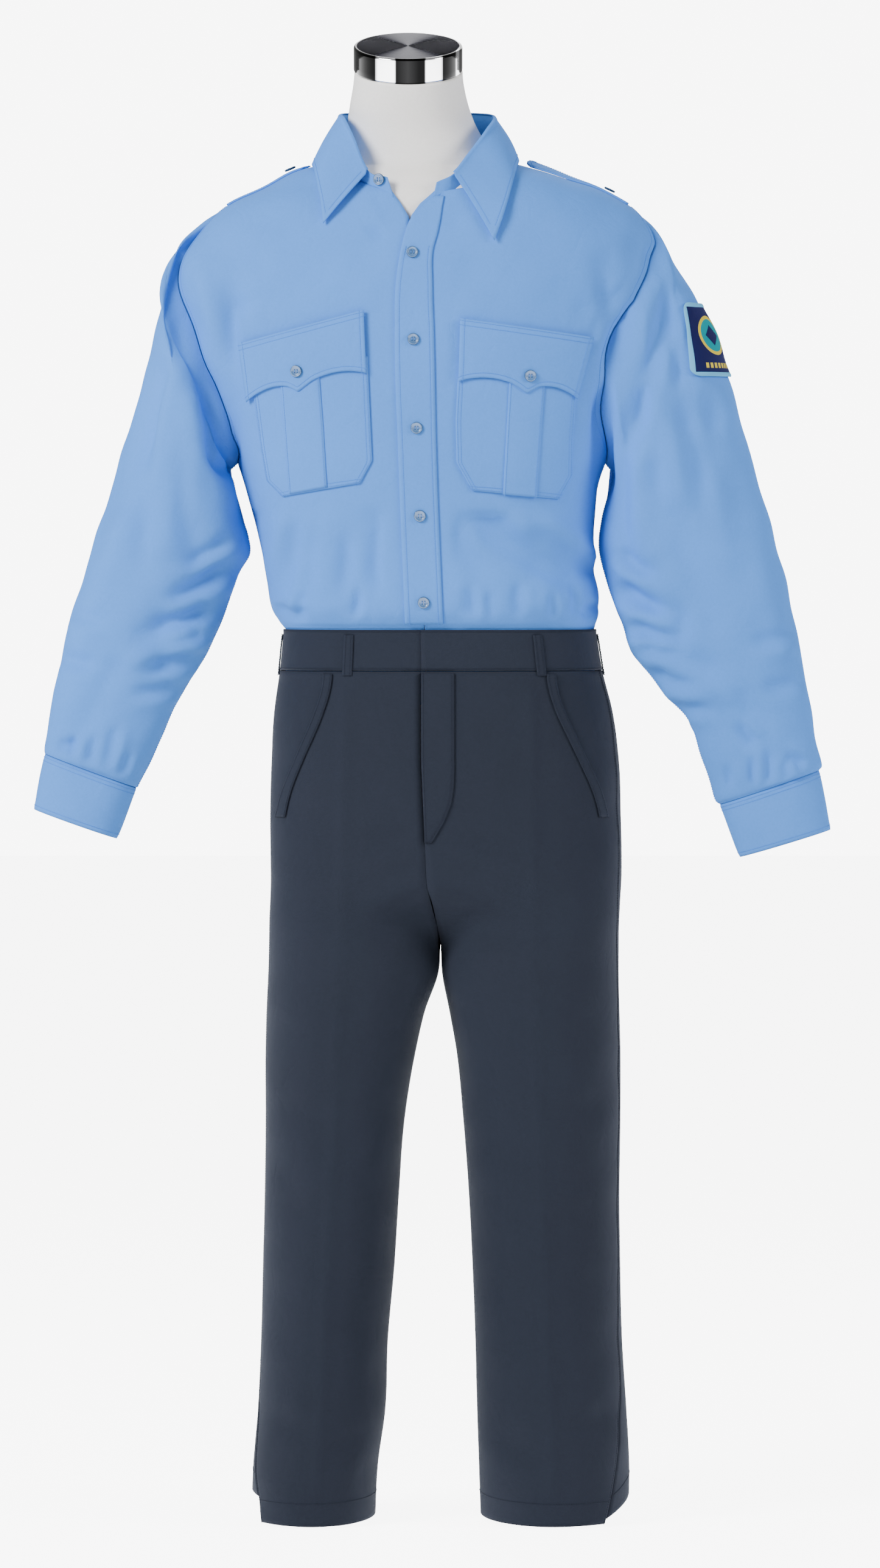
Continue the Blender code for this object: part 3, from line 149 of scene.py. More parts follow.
# Collar: seam on the neck, top of the stand (the roll line) and the outer edge of the fall, left to right.
COLLAR_STAND = np.array([
    (-44, -99, 1443, -49, -97, 1459),
    (-60, -92, 1449, -69, -89, 1466),
    (-84, -75, 1459, -84, -67, 1500),
    (-103, -46, 1472, -94, -40, 1522),
    (-106, 2, 1480.5, -98, 4, 1530),
    (-86, 54, 1481.5, -80, 52, 1533),
    (-17, 83.5, 1481.5, -17, 80, 1535),
    (52, 54, 1481.5, 50, 52, 1533),
    (72, 2, 1480.5, 67, 4, 1527),
    (65, -50, 1469, 59, -42, 1511),
    (42, -78, 1457, 38, -73, 1482),
    (18, -94, 1448, 23, -90, 1463),
    (3, -100, 1441, 6, -98, 1454),
])
COLLAR_EDGE = np.array([
    (-117, -108.5, 1407),
    (-120, -96, 1431),
    (-127, -62, 1463),
    (-129, 0, 1476.5),
    (-106, 64, 1476),
    (-17, 99, 1474),
    (72, 64, 1476),
    (93.5, 0, 1480.5),
    (90, -71, 1463),
    (80, -106, 1426),
    (67, -119.5, 1388),
])
STAND_BUTTON = 0.55
# Roll of the fall: outward and up from the stand's top.
COLLAR_ROLL = [(-0.9, 0), (2.6, -1.2), (4.2, -5)]
COLLAR_BULGE = 2.0

# Pocket pieces on the fronts, top to bottom: left end and right end of each row.
POCKET_BODY = {
    "left": np.array([
        (-193, 1236, -69, 1264), (-190, 1215, -68, 1240), (-183, 1165, -66, 1195),
        (-177, 1131, -64, 1152), (-160, 1114, -77, 1128)]),
    "right": np.array([
        (30, 1258, 158, 1240), (27, 1234, 154, 1216), (25, 1195, 151, 1175),
        (26, 1150, 150, 1136), (43, 1120, 136, 1111)]),
}
POCKET_PLEAT = {
    "left": np.array([(-162, 1244, -121, 1252), (-157, 1180, -116, 1190), (-152, 1117, -112, 1124)]),
    "right": np.array([(83, 1247, 121, 1243), (79, 1180, 116, 1178), (75.5, 1116, 111.5, 1113)]),
}
POCKET_FLAP = {
    "left": np.array([(-206, 1278, -73, 1313), (-197, 1216, -70, 1245)]),
    "right": np.array([(30, 1304, 172, 1285), (28, 1236, 154, 1219)]),
}
FLAP_POINT = {"left": 0.43, "right": 0.58}
FLAP_SCALLOP, FLAP_TIP = 9.0, 2.5
FLAP_BUTTON = {"left": (-144.0, 1248.0), "right": (104.0, 1243.0)}

# Sleeve sections: outer line (x, z), inner line (x, z), front and back. The first section is the armhole.
SLEEVE = {
    "left": np.array([
        (-252, 1409, -221, 1141, -70, 86),
        (-267, 1390, -217, 1132, -78, 88),
        (-280, 1365, -215, 1124, -84, 88),
        (-290, 1335, -213, 1116, -87, 86),
        (-299, 1297, -210, 1107, -88, 84),
        (-310, 1254, -207, 1097, -87, 80),
        (-323, 1208, -204, 1085, -84, 76),
        (-338, 1158, -200, 1070, -81, 70),
        (-354, 1104, -198, 1050, -79, 62),
        (-369, 1058, -211, 1026, -80, 52),
        (-383, 1012, -226, 986, -82, 42),
        (-394, 975, -241, 949, -82, 34),
        (-402, 942, -264, 912, -81, 24),
        (-409, 902, -286, 871, -79, 15),
        (-416, 866, -302, 832, -77, 8),
        (-421, 844, -315, 806, -75, 4),
        (-419.5, 836.2, -319.5, 799.2, -71, 0)]),
    "right": np.array([
        (234, 1411, 195, 1141, -88, 86),
        (248, 1392, 194, 1132, -92, 88),
        (260, 1371, 192, 1124, -94, 88),
        (273, 1349, 190, 1115, -94, 86),
        (287, 1327, 188, 1106, -94, 84),
        (301, 1300, 186, 1096, -93, 82),
        (316, 1260, 184, 1084, -91, 78),
        (333, 1205, 182, 1070, -88, 72),
        (349, 1149, 182, 1054, -85, 64),
        (364, 1096, 186, 1034, -83, 54),
        (377, 1046, 196, 1004, -82, 44),
        (388, 1003, 206, 974, -82, 36),
        (396, 965, 218, 944, -81, 28),
        (403, 930, 245, 908, -80, 18),
        (409, 892, 277, 872, -78, 10),
        (414, 858, 292, 831, -77, 6),
        (421, 826, 305, 790, -75, 4),
        (419.5, 818.2, 311.5, 781.2, -71, 0)]),
}
CUFF = {
    "left": np.array([
        (-419.5, 835.8, -320, 798.8, -71, 0),
        (-426, 806, -330, 771, -71, -3),
        (-431.5, 776, -341, 744, -70, -6)]),
    "right": np.array([
        (419.5, 817.8, 311.5, 780.8, -71, 0),
        (426, 786, 322, 752, -71, -3),
        (432, 754, 333, 724, -70, -6)]),
}
SLEEVE_ROUNDNESS, SLEEVE_HEAD_ROWS, CUFF_POINTS = 2.15, 7.5, 24

# Badge: height of its top and bottom, angles of its front and outer edge at each (90 is the front), its
# rounded corners, and the sleeve sections that it lies between.
BADGE_HEIGHTS, BADGE_ANGLES, BADGE_CORNER = (1322.0, 1243.0), np.array([(51.0, -15.0), (60.0, -6.0)]), 9.0
BADGE_FIRST_ROW, BADGE_LAST_ROW = 3, 11
BADGE_LENGTH, BADGE_WIDTH, BADGE_LIFT, BADGE_WALL = 78.0, 72.0, 2.4, 1.5

# Epaulettes on the shoulder line: first and last TRUNK row, lift at the neck end and at the arm end.
EPAULETTE = {"left": (1.62, 4.05, 1.1, 0.8), "right": (1.62, 3.98, 8.0, 0.8)}
EPAULETTE_HALF_WIDTH, EPAULETTE_WALL = 21.0, 1.6
EPAULETTE_BUTTON_ROW = {"left": 2.1, "right": 3.35}

BUTTON_LIFT = 0.1
CUFF_BUTTON_LIFT, CUFF_BUTTON_POINT = 1.9, 20

# Trousers above the crotch: height, left and right side, front and back, roundness.
HIP = np.array([
    (966, -161.6, 178.6, -107.6, 108.6, 2.5),
    (926, -165.5, 185, -110, 112.5, 2.5),
    (882, -171.5, 196, -112, 117, 2.45),
    (830, -174.5, 203, -113, 121, 2.4),
    (760, -176, 205.5, -112, 123, 2.4),
    (700, -175.5, 206, -109, 120, 2.7),
    (640, -177, 203.5, -106, 115, 3),
    (600, -178, 203, -104, 111, 3),
    (560, -179, 203, -102, 107, 3),
])
# Legs: height, left leg's outer and inner side, right leg's inner and outer side, front, back, roundness.
LEG = np.array([
    (640, -177, 7.5, 10.5, 203.5, -104, 113, 2.2),
    (600, -178, 7.5, 10.5, 203, -103, 110, 2.15),
    (554, -180, -8, 19, 204, -100, 105.5, 2.1),
    (515, -181, -17, 26, 205, -96, 101, 2.05),
    (436, -181, -30, 34, 205, -91, 96, 2),
    (356, -182, -36, 40, 204, -88, 93, 1.95),
    (277, -184, -41, 44, 205, -86, 91, 1.9),
    (198, -186, -48, 47, 207, -86, 91, 1.9),
    (119, -190, -51, 49, 212, -88, 93, 1.9),
    (60, -195, -59, 51, 215, -90, 94, 1.9),
    (0, -197, -62, 53, 214, -92, 95, 1.9),
])
TROUSER_TOP, CROTCH_TOP, CROTCH = 925.7, 705.0, 600.0
# Middle seam at the front and the back, and the angle of each outer seam, against height.
MIDDLE_SEAM = np.array([
    (966, -12, 22), (830, -12, 22), (693, -6, 18), (640, 3, 13), (600, 9, 9),
    (0, 9, 9),
])
OUTER_SEAM = np.array([
    (966, 176, 346), (600, 178, 346), (300, 180, 345), (150, 186, 338), (60, 200, 325),
    (0, 214, 312),
])
# Height of each hem above the floor, from the outer seam to the inner seam, and where it starts to bend.
HEM = {
    ("front", "left"): [(0, 3), (0.5, 2.5), (0.8, 5), (1, 8)],
    ("front", "right"): [(0, 3), (0.5, 2.5), (0.8, 5), (1, 8)],
    ("back", "left"): [(0, 30), (0.15, 34), (0.4, 22), (0.7, 9), (1, 8)],
    ("back", "right"): [(0, 8), (0.1, 22), (0.25, 34), (0.45, 24), (0.75, 9), (1, 8)],
}
HEM_BEND = 165.0
WAISTBAND_BOTTOM, WAISTBAND_TOP = 926.3, 966.0
BELT_LOOPS = [
    ("side_left", 182), ("side_right", 358), ("front_left", 240), ("front_right", 303),
    ("back_left", 128), ("back_middle", 86), ("back_right", 48),
]
BELT_LOOP_HALF_WIDTH, BELT_LOOP_TOP, BELT_LOOP_BOTTOM, BELT_LOOP_WALL = 5.5, 965.0, 921.0, 1.4
BELT_LOOP_ARCH = [0.5, 2.2, 2.6, 2.2, 0.5]
# Fly: height against width; pocket edges: side, height and x of the top, height and x of the end.
FLY = np.array([(924, 36), (824, 36), (804, 34.5), (784, 31), (764, 22), (742, 8)])
POCKET_EDGES = [("left", 923, -112, 768, -164), ("right", 923, 128, 768, 186)]
POCKET_EDGE_HALF_WIDTH, POCKET_EDGE_LIFT, POCKET_EDGE_WALL = 5.0, 1.0, 1.2

# Dress form: neck rings (centre x, y, z, half width, half depth, forward tilt), then hips below the tail.
NECK_RINGS = np.array([
    (-25.5, -9.9, 1575, 58.5, 58.5, 18),
    (-25.5, -6, 1560, 60, 60, 17),
    (-25, 0, 1540, 64, 62, 14),
    (-23, 4.5, 1520, 69, 63.5, 10),
    (-20, 7, 1503, 75, 66.5, 6),
    (-18, 8, 1489, 79, 69, 2),
])
# Room between the form and the shirt's outer face, against the TRUNK row.
FORM_INSET = np.array([
    (1, 6.8), (1.6, 6.2), (2.3, 4.8), (3.5, 3), (4.5, 5), (5, 7), (6, 11), (7, 14),
    (8, 15), (12, 14), (14, 12), (15, 8), (17, 2.3), (18, 2.3), (19, 3),
])
FORM_TRUNK_ROWS = [
    1.05, 1.4, 1.9, 2.5, 3.2, 4.0, 5.0, 6.0, 7.0, 8.0, 10.0, 12.0, 14.0, 15.2, 17.0, 18.0, 19.0,
]
FORM_HIP_ROWS, FORM_HIP_INSET = [870.0, 835.0, 800.0, 786.0, 780.0], [7.0, 10.0, 16.0, 26.0, 42.0]
CAP_CENTRE, CAP_RADIUS, CAP_TILT = (-26.0, -18.7, 1602.0), 59.0, 18.0
STAND_PLACES = {"left": (-124.0, 3.0), "right": (129.0, 3.0)}
# Foot plate and pole: height, half width, half depth.
STAND_PROFILE = [
    (0, 47, 72), (7, 47, 72), (9, 44, 69), (13, 13, 13), (779.7, 13, 13),
]

# Largest folds of the front and of the back: start and end (x, z), half width, height (trough negative).
SHIRT_FOLDS = seen_from([
    (-250, 1365, -232, 1262, 20, 4), (-214, 1335, -218, 1270, 15, -5), (-206, 1215, -190, 1120, 13, -4),
    (14, 1215, 15, 1162, 12, -3), (15, 1120, 66, 1076, 17, -6), (66, 1076, 146, 1030, 17, -6),
    (96, 1092, 168, 1046, 15, 5), (186, 1362, 197, 1290, 15, -5), (222, 1386, 220, 1330, 13, -3.5),
    (-60, 1290, -56, 1020, 15, -2.6), (-126, 1070, -112, 996, 17, 3.5), (-84, 1060, -80, 994, 15, -3),
    (52, 1040, 46, 992, 14, -2.5), (124, 1020, 116, 994, 15, 3),
], [
    (-78, 1335, -70, 1010, 22, 4.5), (-118, 1320, -108, 1040, 20, -4.5), (52, 1335, 48, 1010, 22, 4.5),
    (92, 1320, 84, 1040, 20, -4.5), (-170, 1250, -140, 1120, 20, -4.5), (150, 1250, 125, 1110, 20, -4.5),
    (-14, 1080, -18, 996, 20, -3),
])
# Where the front lies flat under its placket and pockets: left, right, bottom and top.
FLAT_ZONES = [(-46, 16, 960, 1430), (-204, -56, 1104, 1300), (16, 168, 1100, 1300)]
FLAT_ZONE_MARGIN = 14.0
# Folds fade out towards the side lines, and down to where the shirt is tucked in.
SIDE_FADE, TUCK_HEIGHT, TUCK_FADE = 40.0, 975.0, 25.0
SLEEVE_FOLDS = {
    "left": seen_from([
        (-262, 1340, -276, 1270, 14, -4), (-300, 1250, -330, 1110, 16, -5),
        (-262, 1210, -290, 1060, 16, 4.5), (-240, 1170, -256, 1050, 14, -5),
        (-340, 1070, -376, 960, 15, 4), (-226, 1036, -272, 1008, 14, -5.5),
        (-248, 984, -306, 966, 14, -5.5), (-262, 956, -318, 938, 13, 4), (-344, 930, -376, 868, 13, -3.5),
    ], [
        (-300, 1260, -330, 1120, 18, -5), (-255, 1190, -285, 1070, 17, 4.5),
        (-240, 1010, -310, 985, 16, -5.5), (-340, 960, -376, 870, 14, -4.5),
    ]),
    "right": seen_from([
        (252, 1330, 232, 1250, 14, -5), (232, 1250, 214, 1180, 14, -5), (262, 1300, 272, 1200, 15, -4.5),
        (230, 1150, 242, 1060, 15, 4.5), (300, 1200, 330, 1070, 16, -5), (345, 1080, 378, 950, 15, 4),
        (264, 1090, 300, 980, 17, -5), (212, 1006, 268, 980, 14, -5.5), (236, 950, 296, 930, 14, -5),
        (262, 918, 322, 900, 13, 4), (334, 900, 368, 838, 13, -3.5),
    ], [
        (300, 1240, 328, 1110, 18, -5), (236, 1170, 262, 1060, 17, 4.5), (232, 1000, 304, 975, 16, -5.5),
        (332, 940, 370, 850, 14, -4.5),
    ]),
}
TROUSER_FOLDS = seen_from([
    (-92, 900, -100, 560, 7, 2), (-100, 560, -124, 40, 6, 2.5), (106, 900, 112, 560, 7, 2),
    (112, 560, 132, 40, 6, 2.5), (-120, 400, -160, 380, 12, -2.5), (90, 390, 160, 372, 12, -2.5),
], [
    (-92, 620, -124, 40, 6, 2.5), (112, 620, 132, 40, 6, 2.5), (-24, 690, -90, 640, 13, -4),
    (40, 690, 104, 640, 13, -4),
])

# Creases of the front and of the back: start, middle and end (x, z), half width, depth, and lip height
# (positive on the picture's right of a crease that runs down).
SHIRT_CREASES = seen_from([
    (-266, 1296, -247, 1240, -222, 1180, 7, 6, 2), (-222, 1180, -203, 1140, -186, 1073, 7, 5, 1.5),
    (-251, 1374, -236, 1318, -222, 1255, 8, -3, 0), (-204, 1334, -211, 1290, -200, 1225, 9, 4, 1.5),
    (-200, 1225, -186, 1168, -172, 1112, 9, 4, 2), (-228, 1358, -200, 1364, -166, 1372, 12, 2.2, -1),
    (-63, 1441, -50, 1424, -30, 1400, 5, 1.6, 0.9), (-72, 1408, -55, 1394, -34, 1383, 5, 1.8, 0.9),
    (17, 1440, 4, 1421, -16, 1401, 5, 1.6, -0.9), (30, 1412, 14, 1404, -6, 1392, 5, 1.4, -0.7),
    (-50, 1272, -52, 1235, -50, 1190, 5, 1.6, 0.8), (-62, 1242, -66, 1215, -69, 1180, 5, 1.3, -0.7),
    (-44, 1176, -47, 1140, -40, 1100, 5, 1.5, 0.8), (-52, 1090, -62, 1050, -58, 1008, 7, 2.2, 1.2),
    (231, 1388, 237, 1366, 222, 1326, 5, 3.6, 2), (222, 1326, 205, 1290, 182, 1242, 8, 6, -2),
    (182, 1242, 171, 1180, 160, 1108, 9, 6, -2), (176, 1352, 190, 1320, 190, 1284, 6, 3.6, 1.6),
    (198, 1340, 203, 1326, 206, 1308, 5, 2.6, 1.2), (150, 1330, 168, 1306, 176, 1282, 8, 2, 1),
    (24, 1150, 46, 1104, 102, 1078, 8, 4.4, 2.4), (96, 1080, 132, 1062, 170, 1028, 8, 4.6, 2.2),
    (64, 1076, 100, 1052, 146, 1018, 9, 3, 1.6), (26, 1092, 34, 1060, 60, 1030, 8, 2.6, 1.4),
    (158, 1054, 165, 1040, 173, 1022, 5, 3.6, 1.4), (-158, 1106, -166, 1062, -176, 1010, 8, -3, 0),
    (-146, 1100, -150, 1056, -160, 1004, 7, 3.2, 1.2), (-120, 1098, -132, 1050, -126, 1000, 8, 2.6, -1.2),
    (-98, 1086, -94, 1042, -104, 996, 7, 2.4, 1.2), (-176, 1000, -156, 988, -128, 983, 6, 3, 1.8),
    (-84, 1020, -80, 1000, -88, 980, 4, 2.4, 1.2), (-136, 1014, -141, 998, -138, 979, 4, 2.2, -1),
    (-52, 1012, -48, 994, -50, 979, 4, 2, 1), (36, 1022, 42, 1000, 40, 980, 5, 2.2, 1.2),
    (66, 1016, 62, 998, 68, 980, 4, 1.8, -0.9), (96, 1026, 92, 1002, 98, 980, 5, 2.6, 1.2),
    (126, 1012, 130, 996, 128, 980, 4, 2, 1), (152, 1020, 156, 1002, 152, 981, 4, 2.4, -1),
    (178, 1004, 170, 992, 160, 982, 5, 2.6, 1.4),
], [
    (-104, 1352, -96, 1240, -100, 1080, 9, 3.6, 1.6), (-60, 1350, -52, 1220, -58, 1040, 9, 3.2, -1.4),
    (30, 1352, 36, 1230, 26, 1050, 9, 3.2, 1.4), (74, 1352, 66, 1240, 72, 1090, 9, 3.6, -1.6),
    (-210, 1300, -186, 1230, -158, 1150, 8, 5, 2), (-224, 1250, -204, 1190, -180, 1110, 9, 4.6, 1.6),
    (190, 1300, 168, 1230, 138, 1150, 8, 5, -2), (206, 1250, 184, 1180, 158, 1100, 9, 4.6, -1.6),
    (-146, 1120, -120, 1070, -110, 1010, 9, 4, 1.8), (126, 1120, 104, 1070, 92, 1012, 9, 4, -1.8),
    (-30, 1110, -24, 1060, -34, 1000, 9, 3, 1.4), (-134, 1024, -130, 1002, -136, 980, 5, 2.6, 1.2),
    (-96, 1018, -92, 1000, -98, 980, 4, 2.2, -1), (-58, 1028, -62, 1004, -56, 980, 5, 2.8, 1.2),
    (-8, 1016, -4, 998, -10, 980, 4, 2.2, 1), (34, 1026, 30, 1002, 36, 980, 5, 2.6, -1.2),
    (70, 1018, 74, 1000, 68, 980, 4, 2.2, 1), (118, 1028, 112, 1004, 120, 980, 5, 2.8, -1.2),
    (154, 1016, 158, 1000, 152, 980, 4, 2.2, 1),
])
SLEEVE_CREASES = {
    "left": seen_from([
        (-286, 1270, -305, 1210, -319, 1108, 9, 4.4, 2),
        (-302, 1282, -331, 1160, -386, 1000, 11, 3.4, 1.6),
        (-308, 1246, -313, 1122, -308, 998, 10, 2.6, -1.4),
        (-258, 1288, -240, 1290, -222, 1296, 6, 5, -1.6),
        (-250, 1250, -236, 1190, -214, 1110, 8, 4.2, -2),
        (-240, 1168, -228, 1150, -208, 1136, 5, 3.6, 1.8),
        (-268, 1200, -270, 1120, -262, 1050, 9, 3, 1.6), (-214, 1078, -236, 1056, -270, 1040, 6, 4, 2),
        (-222, 1044, -246, 1020, -296, 1004, 7, 5.2, 2.4),
        (-236, 1002, -262, 984, -312, 974, 7, 5.6, 2.6), (-246, 975, -262, 962, -296, 955, 5, 3.4, 1.8),
        (-256, 950, -280, 934, -330, 926, 7, 4.8, 2.2), (-272, 915, -296, 906, -336, 902, 6, 3.2, 1.8),
        (-300, 1020, -292, 960, -300, 905, 9, 2.4, 1.2), (-398, 1000, -372, 984, -344, 984, 7, 2.6, -1.2),
        (-406, 950, -384, 936, -356, 938, 7, 2.6, -1.2), (-411, 846, -396, 846, -380, 852, 5, 2.4, 1.2),
        (-340, 872, -346, 845, -353, 815, 5, 2.4, 1.2), (-364, 862, -367, 842, -370, 822, 4, 2.4, -1.2),
        (-385, 858, -388, 845, -391, 830, 4, 1.8, 1), (-326, 842, -331, 826, -336, 810, 4, 2, 1),
    ], [
        (-222, 1050, -256, 1010, -330, 990, 8, 5, 2.2), (-238, 1000, -276, 972, -344, 962, 8, 5.4, 2.4),
        (-256, 948, -296, 930, -352, 926, 8, 4.6, 2), (-276, 912, -310, 900, -350, 898, 7, 3, 1.6),
        (-250, 1290, -262, 1200, -258, 1090, 9, 4.4, 2), (-290, 1290, -314, 1200, -334, 1080, 11, 4, 1.8),
        (-232, 1180, -238, 1130, -228, 1080, 8, 4, -1.8), (-350, 880, -358, 850, -368, 822, 5, 2.6, 1.2),
        (-380, 880, -384, 856, -390, 832, 5, 2.4, -1.2),
    ]),
    "right": seen_from([
        (255, 1346, 252, 1300, 231, 1240, 8, 4.6, 2), (231, 1240, 225, 1215, 226, 1180, 7, 3.4, 1.6),
        (262, 1302, 266, 1262, 268, 1224, 7, 3.2, -1.4), (293, 1232, 303, 1206, 312, 1178, 7, 3, 1.6),
        (214, 1208, 203, 1110, 218, 1024, 8, 4, 2), (268, 1226, 284, 1158, 302, 1056, 10, 4, -1.8),
        (238, 1190, 240, 1120, 248, 1050, 9, 2.8, 1.4), (322, 1180, 340, 1110, 358, 1030, 11, 2.8, -1.4),
        (200, 1062, 218, 1040, 250, 1026, 6, 4, -2), (200, 1026, 222, 1002, 268, 988, 7, 5, -2.4),
        (212, 982, 236, 966, 286, 960, 7, 5.4, -2.6), (222, 956, 242, 946, 276, 944, 5, 3.2, -1.8),
        (230, 930, 256, 914, 308, 910, 7, 4.8, -2.2), (250, 896, 274, 886, 312, 886, 6, 3.2, -1.8),
        (266, 1022, 268, 974, 261, 928, 9, 2.6, -1.2), (392, 976, 368, 960, 340, 962, 7, 2.4, 1.2),
        (402, 922, 378, 910, 352, 914, 7, 2.4, 1.2), (326, 874, 338, 856, 352, 842, 6, 3.4, 1.8),
        (378, 836, 392, 830, 406, 824, 5, 2.8, 1.4), (344, 838, 346, 818, 346, 800, 4, 2.4, 1.2),
        (361, 846, 362, 822, 361, 800, 4, 2.4, -1.2), (380, 832, 382, 818, 384, 804, 4, 2, 1),
        (318, 826, 320, 812, 322, 796, 4, 1.8, 1),
    ], [
        (200, 1030, 234, 992, 306, 974, 8, 5, -2.2), (214, 978, 252, 952, 320, 944, 8, 5.4, -2.4),
        (232, 926, 272, 910, 328, 908, 8, 4.6, -2), (254, 892, 288, 882, 330, 882, 7, 3, -1.6),
        (226, 1280, 238, 1190, 234, 1080, 9, 4.4, -2), (270, 1280, 292, 1190, 312, 1070, 11, 4, -1.8),
        (206, 1170, 212, 1120, 204, 1070, 8, 4, 1.8), (332, 866, 340, 836, 350, 808, 5, 2.6, -1.2),
        (362, 860, 368, 836, 374, 812, 5, 2.4, 1.2),
    ]),
}
TROUSER_CREASES = seen_from([
    (-14, 762, -46, 748, -96, 744, 9, 2.2, 1.2), (-10, 726, -44, 704, -98, 690, 10, 2.6, 1.4),
    (6, 690, -30, 660, -84, 640, 10, 2.4, 1.2), (30, 758, 62, 744, 116, 742, 9, 2.2, -1.2),
    (22, 722, 58, 700, 116, 688, 10, 2.6, -1.4), (14, 686, 50, 656, 104, 636, 10, 2.4, -1.2),
    (-176, 470, -140, 452, -96, 458, 12, 2, 1.2), (-60, 430, -100, 410, -140, 414, 12, 2, 1),
    (-170, 360, -130, 348, -92, 354, 12, 1.6, 1), (196, 470, 160, 450, 112, 456, 12, 2, -1.2),
    (64, 428, 104, 408, 148, 414, 12, 2, -1), (190, 350, 150, 338, 106, 344, 12, 1.6, -1),
    (-178, 132, -150, 112, -118, 116, 11, 2.4, 1.2), (-66, 116, -92, 92, -120, 84, 11, 2.2, 1),
    (200, 136, 172, 112, 140, 114, 11, 2.4, -1.2), (62, 110, 92, 86, 124, 82, 11, 2.2, -1),
], [
    (10, 726, -50, 690, -120, 670, 13, 4, 2), (14, 690, -40, 640, -108, 606, 13, 4, 2),
    (20, 726, 74, 690, 140, 670, 13, 4, -2), (14, 690, 66, 640, 128, 606, 13, 4, -2),
    (-170, 450, -120, 430, -70, 440, 13, 3, 1.6), (-160, 390, -110, 370, -64, 382, 13, 2.8, 1.4),
    (190, 450, 140, 430, 84, 440, 13, 3, -1.6), (180, 390, 130, 370, 78, 382, 13, 2.8, -1.4),
    (-176, 140, -140, 116, -100, 120, 12, 3, 1.4), (196, 140, 160, 116, 118, 120, 12, 3, -1.4),
])
# A crease's lip lies this many half widths from it, its ends fade over this share of its length, its path
# has this many steps, and its half width is spread by the last value.
LIP_DISTANCE, CREASE_FADE, CREASE_STEPS, CREASE_SPREAD = 1.7, 0.36, 8, 1.3
# Least room left between the cloth's inner face and the form, and slow unevenness of all the cloth.
FORM_CLEARANCE = 0.5
UNEVEN_WAVES = [(0.071, 0.043, 0.6), (-0.038, 0.087, 0.5), (0.113, -0.067, 0.25), (0.052, 0.131, 0.22)]

# Steps of the fine grids: rows a coarse row, and columns.
NECK_STEPS, ARM_STEPS, LOW_STEPS = 4, 5, 6
FRONT_COLUMNS, BACK_COLUMNS, SLEEVE_STEPS, CUFF_ROWS = 72, 110, 9, 22
TROUSER_ROW_STEP, TROUSER_COLUMNS = 5.5, 44
# Rows and columns of the smaller pieces' grids, and points round the turned ones.
STAND_GRID, ROLL_ROWS, FALL_GRID = (9, 145), 7, (17, 161)
PLACKET_GRID, POCKET_GRID, PLEAT_GRID, FLAP_GRID = (150, 13), (44, 44), (44, 14), (26, 48)
STRAP_GRID, BADGE_POINTS, BAND_GRID, LOOP_GRID = (64, 21), 73, (12, 260), (22, 7)
FLY_GRID, POCKET_EDGE_GRID = (60, 12), (48, 6)
FORM_POINTS, NECK_FORM_ROWS, TRUNK_FORM_ROWS, CAP_POINTS, STAND_POINTS = 96, 26, 49, 128, 48
BUTTON_POINTS, HOLE_POINTS, THREAD_POINTS = 32, 8, 6
STITCH_LIFT = 0.22
CUFF_EDGE_ROLL, COLLAR_WAVE, PATCH_PUFF, FLAP_PUFF_AT_BUTTON = 0.5, 0.6, 0.5, 0.45
BADGE_BORDER, BADGE_EDGE_HEIGHT = 4.5, 0.8
# Turned shapes as (radius, height): a button from its back to its middle, and one of its four holes.
BUTTON_TURNING = [
    (5.2, 0.3), (5.7, 0.35), (6.1, 0.6), (6.35, 1), (6.4, 1.5), (6.3, 2), (6.05, 2.35), (5.6, 2.5),
    (5.1, 2.48), (4.6, 2.3), (4.2, 2), (3.8, 1.8), (3.2, 1.7), (1.6, 1.65), (0.2, 1.65),
]
# Rings of each button's outer rim that take a darker copy of its colour: painted shade.
BUTTON_PAINTED_SHADE_RINGS = 7
BUTTON_HOLE, BUTTON_HOLE_PLACE, BUTTON_THREAD_HEIGHT = [(0.75, 1.6), (0.75, 1.72), (0.3, 1.73)], 1.4, 1.85
# Cap as (distance down its axis, distance in from its radius): top, groove near the edge, rim and side.
CAP_TURNING = [
    (0, 58.5), (0, 30), (0, 3.2), (0.1, 1.9), (0.4, 1.1), (0.9, 0.5), (1.6, 0.15), (2.6, 0),
    (8, 0), (14, 0), (20, 0), (25.5, 0), (26.6, 0.3), (27.4, 0.8), (28, 1.6),
]
FORM_EXTRA_INSET, NARROWEST_CUT = 0.25, 10.1
# Start of the collar stand from its seam, share of a belt loop's arch, share of an epaulette's lift at its
# front edge, and height of the waistband over its solid.
STAND_START, LOOP_FLATNESS, STRAP_FRONT_LIFT, BAND_RISE = -9.0, 0.12, 0.05, 4.5
# Painted reflection bands on the cap's side, as (place from the picture's left to right, brightness).
CAP_PAINTED_REFLECTION_BANDS = [
    (0, 0.003), (1, 0.003), (0.2, 0.003), (0.225, 1), (0.375, 1), (0.39, 0.004), (0.5, 0.012),
    (0.6, 0.004), (0.655, 0.004), (0.67, 1), (0.8, 1), (0.82, 0.004), (0.935, 0.006), (0.945, 0.8),
    (0.965, 0.8), (0.975, 0.003),
]


